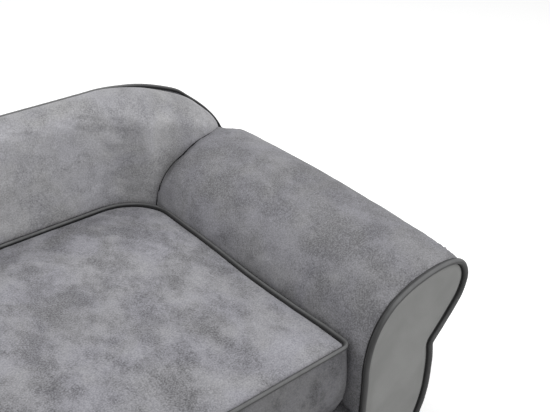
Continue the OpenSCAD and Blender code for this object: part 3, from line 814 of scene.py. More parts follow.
@dataclass(frozen=True)
class PlushFinish(Finish):
    """Short crushed pile with light and dark smudges."""

    sheen: float = 0.12
    bump: float = 0.55
    bump_height: float = 0.5 * MM
    contrast: float = 0.37
    grain: float = 1.0
    patch_scale: float = 32.0
    grain_scale: float = 700.0
    tint: float = 0.012
    shift: tuple[float, float, float] = (0.0, 0.0, 0.0)

    def surface(self, nodes: Nodes, place: bpy.types.NodeSocket) -> tuple:
        """Colour, height and roughness sockets of the pile."""
        moved = nodes.add("ShaderNodeMapping", {"Vector": place, "Location": self.shift}).outputs[0]
        group = nodes.add("ShaderNodeGroup", {"Vector": moved, "Patch Scale": self.patch_scale,
                                              "Grain Scale": self.grain_scale, "Grain Depth": self.grain},
                          node_tree=GROUPS.crushed_nap())
        lift = 1 / (1 - self.contrast)
        r, g, b = (c * lift for c in self.colour)
        warm = (r * (1 + self.tint), g * (1 + self.tint / 2), b * (1 - self.tint))
        cool = (r, g * (1 - self.tint / 2), b * (1 + self.tint))
        hue = nodes.ramp(group.outputs["Tint"], [(0.38, warm), (0.62, cool)])
        tone = nodes.ramp(group.outputs["Tone"], [(0.0, 1 - 2 * self.contrast), (1.0, 1.0)])
        return nodes.mix(1.0, hue, tone, "MULTIPLY"), group.outputs["Height"], None


@dataclass(frozen=True)
class ClothFinish(Finish):
    """Smooth cloth with fine threads and faint cloudy wear."""

    bump: float = 0.3
    bump_height: float = 0.15 * MM
    threads: float = 4200.0
    cloud: float = 0.08
    cloud_scale: float = 22.0

    def surface(self, nodes: Nodes, place: bpy.types.NodeSocket) -> tuple:
        """Colour, height and roughness sockets of the threads."""
        group = nodes.add("ShaderNodeGroup", {"Vector": place, "Threads": self.threads},
                          node_tree=GROUPS.weave())
        cloud = nodes.noise(place, self.cloud_scale, 4.0, 0.5)
        base = nodes.ramp(cloud, [(0.3, tuple(c * (1 - self.cloud) for c in self.colour)),
                                  (0.7, tuple(c * (1 + self.cloud) for c in self.colour))])
        thread = nodes.ramp(group.outputs["Height"], [(0.0, 0.86), (0.8, 1.05)])
        colour = nodes.mix(1.0, base, thread, "MULTIPLY")
        return colour, group.outputs["Height"], None


@dataclass(frozen=True)
class WoodFinish(Finish):
    """Planed wood or board with long grain."""

    bump: float = 0.25
    grain_axis: tuple[float, float, float] = (3.0, 60.0, 60.0)

    def surface(self, nodes: Nodes, place: bpy.types.NodeSocket) -> tuple:
        """Colour, height and roughness sockets of the grain."""
        stretched = nodes.add("ShaderNodeMapping", {"Vector": place, "Scale": self.grain_axis}).outputs[0]
        rings = nodes.noise(stretched, 3.0, 6.0, 1.2)
        pores = nodes.noise(stretched, 24.0, 3.0)
        base = nodes.ramp(rings, [(0.3, tuple(c * 0.72 for c in self.colour)), (0.65, self.colour)])
        colour = nodes.mix(1.0, base, nodes.ramp(pores, [(0.3, 0.85), (0.6, 1.0)]), "MULTIPLY")
        return colour, pores, nodes.ramp(pores, [(0.2, 0.75), (0.8, 0.55)])


@dataclass(frozen=True)
class FoamFinish(Finish):
    """Open cells of a cut foam."""

    def surface(self, nodes: Nodes, place: bpy.types.NodeSocket) -> tuple:
        """Colour, height and roughness sockets of the cells."""
        cells = nodes.add("ShaderNodeTexVoronoi", {"Vector": place, "Scale": 700.0}).outputs["Distance"]
        colour = nodes.ramp(cells, [(0.1, tuple(c * 0.7 for c in self.colour)), (0.6, self.colour)])
        return colour, cells, None


@dataclass(frozen=True)
class MetalFinish(Finish):
    """Zinc plated steel with faint drawing marks."""

    def surface(self, nodes: Nodes, place: bpy.types.NodeSocket) -> tuple:
        """Colour, height and roughness sockets of the marks."""
        marks = nodes.noise(place, 1500.0, 2.0)
        colour = nodes.ramp(marks, [(0.3, tuple(c * 0.85 for c in self.colour)), (0.7, self.colour)])
        return colour, marks, nodes.ramp(marks, [(0.3, 0.45), (0.7, 0.3)])


UPWARD = (0.0, 0.0, 1.0)
PLUSH = PlushFinish("plush", (0.272, 0.272, 0.291), grain=1.6)
# The arm's copy of the plush, set a little darker than the seat's: painted shade.
SHADED_ARM_PLUSH = PlushFinish("arm_plush", (0.241, 0.241, 0.256), shift=(0.31, 0.17, 0.05), contrast=0.3, grain=2.2)
# The back's copy of the plush, much lighter than the seat's, as painted light, and darkened where it faces
# up, as painted shade on its top.
LIT_BACK_PLUSH = PlushFinish("back_plush", (0.45, 0.45, 0.468), faded=0.7, faded_from=0.4, faded_toward=UPWARD,
                         shift=(0.11, 0.43, 0.27), contrast=0.26, grain=2.3)
# The boxing's copy of the plush at about half the seat's colour: painted shade.
SHADED_BOXING_PLUSH = PlushFinish("boxing_plush", (0.144, 0.144, 0.151), sheen=0.1, bump=0.5,
                           shift=(0.23, 0.61, 0.1), contrast=0.4)
DARK_PLUSH = PlushFinish("dark_plush", (0.2, 0.2, 0.212), sheen=0.1, bump=0.5, shift=(0.71, 0.23, 0.4),
                         contrast=0.38, grain=1.4)
PANEL_CLOTH = ClothFinish("panel_cloth", (0.264, 0.266, 0.26), sheen=0.08, bump=0.2, bump_height=0.12 * MM,
                          threads=5200.0, cloud=0.09)
# Piping: a dark colour with a painted highlight on its upper, forward facing side and painted shade on its
# other sides. The rear cord is lightened where it faces straight up.
TOP_LIT_PIPING_CLOTH = ClothFinish("piping_cloth", (0.038, 0.0383, 0.0387), roughness=0.6, gloss=0.4, sheen=0.05,
                           bump=0.35, cloud=0.14, cloud_scale=60.0, faded=4.1)
TOP_LIT_REAR_PIPING_CLOTH = replace(TOP_LIT_PIPING_CLOTH, name="rear_piping_cloth", faded_from=0.3, faded_toward=UPWARD)
# Near black strands laid along seams and creases as painted shadow lines. The groove strand also gets a
# painted highlight where it faces up and forward.
SHADOW_STRAND_CLOTH = ClothFinish("seam_cloth", (0.016, 0.016, 0.0165), cloud=0.2, cloud_scale=200.0)
GROOVE_SHADOW_CLOTH = replace(SHADOW_STRAND_CLOTH, name="groove_cloth", colour=(0.026, 0.026, 0.0265), faded=4.0)
LINING = ClothFinish("lining", (0.02, 0.02, 0.022), cloud=0.2, cloud_scale=180.0, threads=2600.0)
ZIP_NYLON = ClothFinish("zip_nylon", (0.02, 0.02, 0.021), roughness=0.6, bump=0.4, threads=3800.0)
FOAM = FoamFinish("foam", (0.72, 0.68, 0.55), bump=0.6, bump_height=0.5 * MM)
SOFTWOOD = WoodFinish("softwood", (0.6, 0.42, 0.24))
BOARD = WoodFinish("board", (0.52, 0.37, 0.22), grain_axis=(60.0, 4.0, 60.0))
HARDBOARD = WoodFinish("hardboard", (0.22, 0.13, 0.07), bump=0.3, grain_axis=(30.0,) * 3)
FOOT_PLASTIC = Finish("foot_plastic", (0.022, 0.022, 0.023), roughness=0.42, bump=0.15, bump_height=0.15 * MM)
GLIDE = Finish("glide", (0.05, 0.05, 0.05), roughness=0.6, bump=0.3)
STEEL = MetalFinish("steel", (0.62, 0.62, 0.63), metallic=1.0, bump=0.08, bump_height=0.05 * MM)


def dress(obj: bpy.types.Object, finish: Finish) -> None:
    """Gives a piece or a node one material in every slot."""
    made = finish.material()
    if not obj.data.materials:
        obj.data.materials.append(made)
    for i in range(len(obj.data.materials)):
        obj.data.materials[i] = made


def place_piece(obj: bpy.types.Object, body: Body, slot: str, finish: Finish, *nodes: str) -> None:
    """Dresses a finished piece, ties it to its body and hides the nodes that it stands for.

    Args:
        obj: The piece, at the origin.
        body: The body that it moves with.
        slot: The record's material slot; not used.
        finish: The piece's finish.
        nodes: The nodes that it replaces.
    """
    dress(obj, finish)
    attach(obj, body.value)
    if nodes:
        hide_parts(*nodes)
    LOG.info("made %s on %s, %d faces", obj.name, body.value, len(obj.data.polygons))


# Geometry node trees


class GeometryKit:
    """Builds and runs the geometry node trees for what follows a path or repeats along it."""

    @staticmethod
    def _tree(name: str,
              inputs: dict[str, tuple[str, object]]) -> tuple[bpy.types.NodeTree, Nodes, bpy.types.Node]:
        """Starts a tree with a geometry input and named values."""
        tree = bpy.data.node_groups.new(name, "GeometryNodeTree")
        tree.interface.new_socket("Geometry", in_out="INPUT", socket_type="NodeSocketGeometry")
        tree.interface.new_socket("Geometry", in_out="OUTPUT", socket_type="NodeSocketGeometry")
        for key, (kind, value) in inputs.items():
            socket = tree.interface.new_socket(key, in_out="INPUT", socket_type=kind)
            if value is not None:
                socket.default_value = value
        nodes = Nodes(tree)
        return tree, nodes, nodes.add("NodeGroupInput")

    @staticmethod
    def _finish(nodes: Nodes, geometry: bpy.types.NodeSocket, material: bpy.types.NodeSocket) -> None:
        """Ends a tree in Realize Instances and Set Material."""
        real = nodes.add("GeometryNodeRealizeInstances", {"Geometry": geometry})
        painted = nodes.add("GeometryNodeSetMaterial", {"Geometry": real.outputs[0], "Material": material})
        smoothed = nodes.add("GeometryNodeSetShadeSmooth", {"Geometry": painted.outputs[0]})
        nodes.add("NodeGroupOutput", {"Geometry": smoothed.outputs[0]})

    def piping_tree(self) -> bpy.types.NodeTree:
        """A cord tube along a path, a little uneven, as a hand sewn welt is."""
        name = "piping_along_path"
        if name in bpy.data.node_groups:
            return bpy.data.node_groups[name]
        number = "NodeSocketFloat"
        tree, n, entry = self._tree(name, {
            "Radius": (number, 3 * MM), "Unevenness": (number, 0.04), "Ripple": (number, 90.0),
            "Step": (number, 2.5 * MM), "Seed": (number, 0.0), "Material": ("NodeSocketMaterial", None)})
        given = entry.outputs
        path = n.add("GeometryNodeResampleCurve", {"Curve": given["Geometry"], "Length": given["Step"]},
                     mode="LENGTH").outputs[0]
        place = n.add("GeometryNodeInputPosition").outputs[0]
        wobble = n.add("ShaderNodeTexNoise", {"Vector": place, "Scale": given["Ripple"], "Detail": 2.0,
                                              "W": given["Seed"]}, noise_dimensions="4D").outputs[0]
        spread_of_noise = n.maths("MULTIPLY", given["Unevenness"], 4.0)
        share = n.maths("ADD", n.maths("MULTIPLY", n.maths("SUBTRACT", wobble, 0.5), spread_of_noise), 1.0)
        radius = n.maths("MULTIPLY", share, given["Radius"])
        sized = n.add("GeometryNodeSetCurveRadius", {"Curve": path, "Radius": radius}).outputs[0]
        ring = n.add("GeometryNodeCurvePrimitiveCircle", {"Resolution": 14, "Radius": 1.0}).outputs[0]
        tube = n.add("GeometryNodeCurveToMesh", {"Curve": sized, "Profile Curve": ring, "Fill Caps": True})
        if "Scale" in tube.inputs:
            n.feed(tube.inputs["Scale"], n.add("GeometryNodeInputRadius").outputs[0])
        self._finish(n, tube.outputs[0], given["Material"])
        return tree

    def repeat_tree(self) -> bpy.types.NodeTree:
        """Copies of one small shape at even steps along a straight line."""
        name = "repeat_along_line"
        if name in bpy.data.node_groups:
            return bpy.data.node_groups[name]
        tree, n, entry = self._tree(name, {
            "Count": ("NodeSocketInt", 10), "Start": ("NodeSocketVector", (0.0, 0.0, 0.0)),
            "Offset": ("NodeSocketVector", (0.01, 0.0, 0.0)), "Material": ("NodeSocketMaterial", None)})
        given = entry.outputs
        line = n.add("GeometryNodeMeshLine", {"Count": given["Count"], "Start Location": given["Start"],
                                              "Offset": given["Offset"]}, mode="OFFSET").outputs[0]
        copies = n.add("GeometryNodeInstanceOnPoints", {"Points": line, "Instance": given["Geometry"]})
        self._finish(n, copies.outputs[0], given["Material"])
        return tree

    @staticmethod
    def run(obj: bpy.types.Object, tree: bpy.types.NodeTree, name: str, **inputs: object) -> bpy.types.Object:
        """Runs a tree on an object and keeps the result as a plain mesh.

        Args:
            obj: What the tree reads; it is deleted afterwards.
            tree: The tree.
            name: Name of the new piece.
            inputs: Values of the named inputs.

        Returns:
            The new piece, with no modifier.
        """
        modifier = obj.modifiers.new(tree.name, "NODES")
        modifier.node_group = tree
        sockets = {i.name: i.identifier for i in tree.interface.items_tree
                   if i.item_type == "SOCKET" and i.in_out == "INPUT"}
        for key, value in inputs.items():
            modifier[sockets[key]] = value
        mesh = evaluated_mesh(obj)
        mesh.name = name
        bpy.data.objects.remove(obj)
        return linked(name, mesh)

    def piping(self, name: str, path: Sequence[Sequence[float]], radius: float, finish: Finish,
               cyclic: bool = False, unevenness: float = 0.04, seed: float = 0.0,
               ripple: float = 90.0) -> bpy.types.Object:
        """Makes a cord along a path.

        Args:
            name: The piece's name.
            path: Points of its middle line.
            radius: Its radius.
            finish: Its finish.
            cyclic: Whether the path is closed.
            unevenness: Share by which the radius wanders.
            seed: Seed of the wandering.
            ripple: How fine the wandering is.

        Returns:
            The cord's mesh.
        """
        curve = bpy.data.curves.new(name + "_path", "CURVE")
        curve.dimensions = "3D"
        line = curve.splines.new("POLY")
        line.points.add(len(path) - 1)
        for point, place in zip(line.points, path):
            point.co = (*place, 1)
        line.use_cyclic_u = cyclic
        return self.run(linked(name + "_path", curve), self.piping_tree(), name, Radius=radius,
                        Unevenness=unevenness, Seed=seed, Ripple=ripple, Material=finish.material())


GEOMETRY = GeometryKit()


# Sub-assemblies


@dataclass
class Arm:
    """One rolled arm: its cover, front panel, piping and outer panel."""

    sizes: SofaSizes
    side: Side
    profile: ArmProfile
    back: BackForm
    outline_points: int = 120
    sections: int = 84
    length: float = 350 * MM
    under_lip: float = 1 * MM
    into_back: float = 0.5 * MM
    seam_dip: float = 1.6 * MM
    seam_reach: float = 3 * MM
    front_hold: float = 7 * MM
    notch_hold: float = 8 * MM
    notch_step: float = 2 * MM
    flat_hold_end: float = 1.4
    flat_hold_fade: float = 0.6
    room: float = 1 * MM
    lip_r: float = 1.2 * MM
    crease_r: float = 0.7 * MM
    crease_row: int = -6
    crease_start: int = 2
    crease_end: int = 70
    groove_r: float = 1 * MM
    groove_depth: float = 2.4 * MM
    panel_gap: float = 0.9 * MM
    panel_recess: float = 1.2 * MM
    panel_t: float = 1 * MM
    panel_wave: float = 0.3 * MM
    panel_edge_points: int = 700
    panel_rows: int = 60
    panel_columns: int = 36
    outer_swell: float = 1.5 * MM
    outer_rows: int = 60
    outer_columns: int = 49
    strand_points: int = 320

    def build(self) -> None:
        """Makes and dresses the arm's pieces."""
        self.cover()
        self.front_panel()
        self.outer_panel()
        self.piping()

    def _name(self, piece: str) -> str:
        """The piece's name with this arm's side."""
        return f"{piece}_{self.side.word}"

    def cover(self) -> None:
        """The plush cover from the seat over the roll to the notch, swelling along its length."""
        s = self.sizes
        outline = spread(self.profile.roll, self.outline_points)
        last = self.outline_points - 1
        ends = [self.back.surface_y(s.arm_x + u, z, s.cover_inset) for u, z in outline]
        rows = []
        for k in range(self.sections + 1):
            share = 0.5 - 0.5 * math.cos(math.pi * k / self.sections)
            dip = self.seam_dip * near(share * self.length, self.seam_reach)
            depths = [s.cover_inset + dip - share * self.profile.rear_spread(i / last)
                      - self.profile.swell(lerp(s.cover_front_y, ends[i], share), share, i / last)
                      for i in range(last + 1)]
            row = []
            for u, z in inset(outline, depths):
                x = s.arm_x + u
                end = self.back.surface_y(x, z, s.cover_inset) + self.into_back
                row.append((x, lerp(s.cover_front_y - self.under_lip, end, share), z))
            rows.append(mirrored(row, self.side))
        obj = grid_object(self._name("plush_arm_cover"), rows, flip=self.side is Side.RIGHT)
        flat = self.profile.FLAT_SIDE_SHARE * last

        def hold(i: int, p: Vector) -> float:
            """Held at both ends, at the notch and along the flat inner side."""
            along, across = divmod(i, self.outline_points)
            ends = max(near(p.y - s.cover_front_y, self.front_hold), 1.0 if along == self.sections else 0.0)
            notch = near((last - across) * self.notch_step, self.notch_hold)
            inner = smooth((self.flat_hold_end * flat - across) / (self.flat_hold_fade * flat))
            return max(ends, notch, inner)

        ClothRun(cap=self.room).relax(obj, hold)
        displace(obj, self._puckers)
        thicken(obj, s.cloth_t)
        # The arm cover gets the darker copy of the plush, painted shade.
        place_piece(obj, Body.SOFA, "plush", SHADED_ARM_PLUSH, self._name("arm_cover"), self._name("arm_foam"))
        # A near black strand along the crease where the arm meets the back: painted shadow line.
        crease = [(x, self.back.surface_y(x, z, s.cover_inset), z)
                  for x, y, z in rows[self.crease_row][self.crease_start:self.crease_end]]
        seam = GEOMETRY.piping(self._name("rear_crease_seam"), crease, self.crease_r, SHADOW_STRAND_CLOTH,
                               unevenness=0.15, seed=4.0, ripple=120.0)
        place_piece(seam, Body.SOFA, "piping_cloth", SHADOW_STRAND_CLOTH)

    def _puckers(self, p: Vector) -> float:
        """Small gathers near the front seam, and a faint waviness of the whole cover."""
        seam = near(p.y - self.sizes.cover_front_y, 9 * MM)
        return 0.3 * MM * seam * ripple(p, 7 * MM, 3.0) + 0.3 * MM * ripple(p, 60 * MM, 8.0)

    def front_panel(self) -> None:
        """The smooth panel behind the front piping, drawn back a little along its edge."""
        s = self.sizes
        count = self.panel_edge_points
        edge = np.array(inset(spread(self.profile.front, count), [2 * s.piping_r + self.panel_gap] * count))
        top = int(np.argmax(edge[:, 1]))
        left, right = edge[:top + 1], edge[top:][::-1]
        rows = []
        for k in range(self.panel_rows + 1):
            z = lerp(s.base_z, edge[top, 1], 1 - (1 - k / self.panel_rows) ** 1.8)
            low, high = np.interp(z, left[:, 1], left[:, 0]), np.interp(z, right[:, 1], right[:, 0])
            row = []
            for i in range(self.panel_columns + 1):
                x = lerp(low, high, 0.5 - 0.5 * math.cos(math.pi * i / self.panel_columns))
                away = float(np.min(np.hypot(edge[:, 0] - x, edge[:, 1] - z)))
                drawn = self.panel_recess * near(away, 3 * MM)
                wave = self.panel_wave * ripple(Vector((x, 0, z)), 45 * MM, 5.0) * smooth(away / (10 * MM))
                row.append((s.arm_x + x, s.cover_front_y - 1.2 * s.cloth_t + drawn + wave, z))
            rows.append(mirrored(row, self.side))
        obj = grid_object(self._name("front_panel"), rows, flip=self.side is Side.LEFT)
        thicken(obj, self.panel_t)
        place_piece(obj, Body.SOFA, "panel_cloth", PANEL_CLOTH, self._name("arm_front_panel"))

    def outer_panel(self) -> None:
        """The panel below the notch, from the front piping to the rear one."""
        s = self.sizes
        last = self.outer_columns
        outline = spread(self.profile.lower, last + 1)
        rows = []
        for k in range(self.outer_rows + 1):
            share = k / self.outer_rows
            swell = self.outer_swell * math.sqrt(max(1 - abs(2 * share - 1) ** 4, 0))
            y = lerp(s.cover_front_y - self.under_lip, s.cover_rear_y + self.under_lip, share)
            depths = [s.cover_inset - swell * math.sin(math.pi * i / last) for i in range(last + 1)]
            row = [(s.arm_x + u, y, max(z, s.base_z)) for u, z in inset(outline, depths)]
            rows.append(mirrored(row, self.side))
        obj = grid_object(self._name("outer_panel"), rows, flip=self.side is Side.RIGHT)
        displace(obj, lambda p: 0.4 * MM * ripple(p, 70 * MM, 2.0))
        thicken(obj, s.cloth_t)
        place_piece(obj, Body.SOFA, "plush_dark", DARK_PLUSH, self._name("arm_outer_panel"),
                    self._name("arm_outer_padding"))

    def piping(self) -> None:
        """The cord round the front panel, and dark strands on both sides of it that paint the shade of its
        seams.
        """
        s = self.sizes
        # The cord's colour carries a painted highlight on top and painted shade on its sides.
        cord = GEOMETRY.piping(self._name("front_piping"), self._strand(s.cord_r, s.front_y + s.cord_r),
                               s.cord_r, TOP_LIT_PIPING_CLOTH, seed=1.0)
        place_piece(cord, Body.SOFA, "piping_cloth", TOP_LIT_PIPING_CLOTH, self._name("arm_front_piping"))
        # The seam lip and the groove strand are near black: painted shadow lines, with a painted highlight
        # where they face up.
        for piece, depth, y, radius in (
                ("front_piping_seam", 2 * s.cord_r + 0.2 * MM, s.cover_front_y - 0.9 * MM, self.lip_r),
                ("front_piping_groove", self.groove_depth, s.cover_front_y + 0.3 * MM, self.groove_r)):
            strand = GEOMETRY.piping(self._name(piece), self._strand(depth, y), radius, GROOVE_SHADOW_CLOTH,
                                     unevenness=0.2, seed=2.0, ripple=160.0)
            place_piece(strand, Body.SOFA, "piping_cloth", GROOVE_SHADOW_CLOTH)

    def _strand(self, depth: float, y: float) -> list[tuple[float, float, float]]:
        """Points of a strand round the arm's front, depth in from its outline."""
        path = inset(spread(self.profile.front, self.strand_points), [depth] * self.strand_points)
        low = self.sizes.base_z + HEM_RISE
        return mirrored([(self.sizes.arm_x + u, y, max(z, low)) for u, z in path], self.side)


@dataclass
class Back:
    """The padded back: its cover, outside panel and rear piping."""

    sizes: SofaSizes
    form: BackForm
    columns: int = 190
    rows: int = 64
    wrap: int = 8
    column_crowding: float = 1.35
    row_crowding: float = 1.9
    edge: float = 0.4 * MM
    seam_dip: float = 0.8 * MM
    seam_fall: float = 0.7 * MM
    shoulder_fall: float = 11 * MM
    groove_r: float = 1.1 * MM
    groove_depth: float = 2.8 * MM
    room: float = 2 * MM
    foot_hold: float = 15 * MM
    hold_fade: float = 20 * MM
    shoulder_start_share: float = 0.85
    shoulder_width_share: float = 0.75
    seam_reach: float = 4 * MM
    fall_reach: tuple[float, float] = (14 * MM, 22 * MM)
    edge_reach: float = 12 * MM
    panel_points: int = 200
    panel_bottom_points: int = 40
    panel_rings: int = 14
    panel_middle: Point = (0.26, 0.15)
    panel_recess: float = 1.4 * MM
    strand_points: int = 420

    def build(self) -> None:
        """Makes and dresses the back's pieces."""
        self.cover()
        self.outside_panel()
        self.piping()

    def cover(self) -> None:
        """The plush cover of the back, rolled over its top, round its ends and under them."""
        s = self.sizes
        edge = self.edge
        grid = []
        for i in range(self.columns + 1):
            across = 2 * i / self.columns - 1
            out = 1 - (1 - abs(across)) ** self.column_crowding
            x = -math.copysign(out, across) * (self.form.half_w - edge)
            low, high = self.form.low(x, edge), self.form.high(x, edge)
            foot_y = min(self.form.surface_y(x, low, edge) + self.form.crease_depth(x, low), s.cover_rear_y)
            column = [self._drawn_in(x, lerp(s.cover_rear_y, foot_y, j / self.wrap), low, low, high)
                      for j in range(self.wrap)]
            for j in range(self.rows + 1):
                z = lerp(low, high, 1 - (1 - j / self.rows) ** self.row_crowding)
                y = min(self.form.surface_y(x, z, edge) + self.form.crease_depth(x, z), s.cover_rear_y)
                column.append(self._drawn_in(x, y, z, low, high))
            grid.append(column)
        obj = grid_object("plush_back_cover", grid)
        count = self.wrap + self.rows + 1

        def hold(i: int, p: Vector) -> float:
            """Held at the rear seam, at its foot and where the arms and the cushion press on it."""
            seam = max(near(s.cover_rear_y - p.y, 10 * MM), 1.0 if i % count <= self.wrap else 0.0)
            foot = smooth((s.deck_height + s.cushion_height + self.foot_hold - p.z) / self.hold_fade)
            return max(seam, foot, smooth((abs(p.x) - s.arm_x) / self.hold_fade + 1))

        ClothRun(pressure=2.0, cap=self.room).relax(obj, hold)
        displace(obj, lambda p: 0.4 * MM * ripple(p, 80 * MM, 4.0) * (1 - near(s.cover_rear_y - p.y, 8 * MM)))
        thicken(obj, s.cloth_t)
        # The back cover gets the lighter copy of the plush with its darkened top: painted light and shade.
        place_piece(obj, Body.SOFA, "plush", LIT_BACK_PLUSH, "inside_back_cover", "back_foam")

    def _drawn_in(self, x: float, y: float, z: float, low: float, high: float) -> tuple[float, float, float]:
        """A point of the cover, drawn in behind the piping where it comes near the rear seam."""
        s = self.sizes
        away = s.cover_rear_y - y
        shoulder = smooth((abs(x) / s.arm_x - self.shoulder_start_share) / self.shoulder_width_share)
        tip, top = near(self.form.half_w - abs(x), self.edge_reach), near(high - z, self.edge_reach)
        under = near(z - low, self.edge_reach) if abs(x) > self.form.well_x else 0.0
        fall = self.seam_fall + self.shoulder_fall * shoulder * (1 - under)
        reach = lerp(*self.fall_reach, shoulder)
        dip = self.seam_dip * near(away, self.seam_reach) + fall * near(away, reach)
        length = math.hypot(tip, top - under) or 1.0
        return (x - math.copysign(dip * tip / length, x), y, z - dip * (top - under) / length)

    def _half_outline(self, depth: float, count: int) -> list[Point]:
        """Evenly placed points of the right half of the outline, depth in from it."""
        points = spread(self.form.outline, count)
        return [(x, max(z, self.sizes.base_z + HEM_RISE)) for x, z in inset(points, [depth] * count)]

    def outside_panel(self) -> None:
        """The flat panel across the rear."""
        s = self.sizes
        right = self._half_outline(1.2 * s.piping_r, self.panel_points)
        count = self.panel_bottom_points
        bottom = [(lerp(right[-1][0], 0, k / count), right[-1][1]) for k in range(1, count)]
        half = right + bottom
        outline = half + [(-x, z) for x, z in reversed(half[1:])]
        rows = []
        for k in range(self.panel_rings + 1):
            share = (k / self.panel_rings) ** 1.4
            row = []
            for x, z in outline:
                reach, tz = self.panel_middle
                tx = max(min(x, reach), -reach)
                drawn = self.panel_recess * math.exp(-math.hypot(x - tx, z - tz) * share / (5 * MM))
                y = s.cover_rear_y + s.cloth_t - drawn
                row.append((lerp(x, tx, share * 0.999), y, lerp(z, tz, share)))
            rows.append(row)
        obj = grid_object("outside_back_panel_cloth", rows, wrap=True)
        displace(obj, lambda p: 0.5 * MM * ripple(p, 90 * MM, 6.0))
        place_piece(obj, Body.SOFA, "plush_dark", DARK_PLUSH, "outside_back_panel")

    def piping(self) -> None:
        """The cord round the rear edge of the back, and a dark strand beside it that paints the shade of its
        groove.
        """
        s = self.sizes
        # The cord's colour carries a painted highlight where it faces up.
        cord = GEOMETRY.piping("rear_piping", self._strand(s.cord_r, s.rear_y - s.cord_r), s.cord_r,
                               TOP_LIT_REAR_PIPING_CLOTH, seed=5.0)
        place_piece(cord, Body.SOFA, "piping_cloth", TOP_LIT_REAR_PIPING_CLOTH, "back_piping")
        # A near black strand in the groove before the cord: painted shadow line.
        path = self._strand(self.groove_depth, s.cover_rear_y - 0.3 * MM)
        groove = GEOMETRY.piping("rear_piping_groove", path, self.groove_r, SHADOW_STRAND_CLOTH, unevenness=0.2,
                                 seed=6.0, ripple=160.0)
        place_piece(groove, Body.SOFA, "piping_cloth", SHADOW_STRAND_CLOTH)

    def _strand(self, depth: float, y: float) -> list[tuple[float, float, float]]:
        """Points of a strand round the back, depth in from its outline."""
        half = self._half_outline(depth, self.strand_points)
        return [(-x, y, z) for x, z in reversed(half)] + [(x, y, z) for x, z in half[1:]]


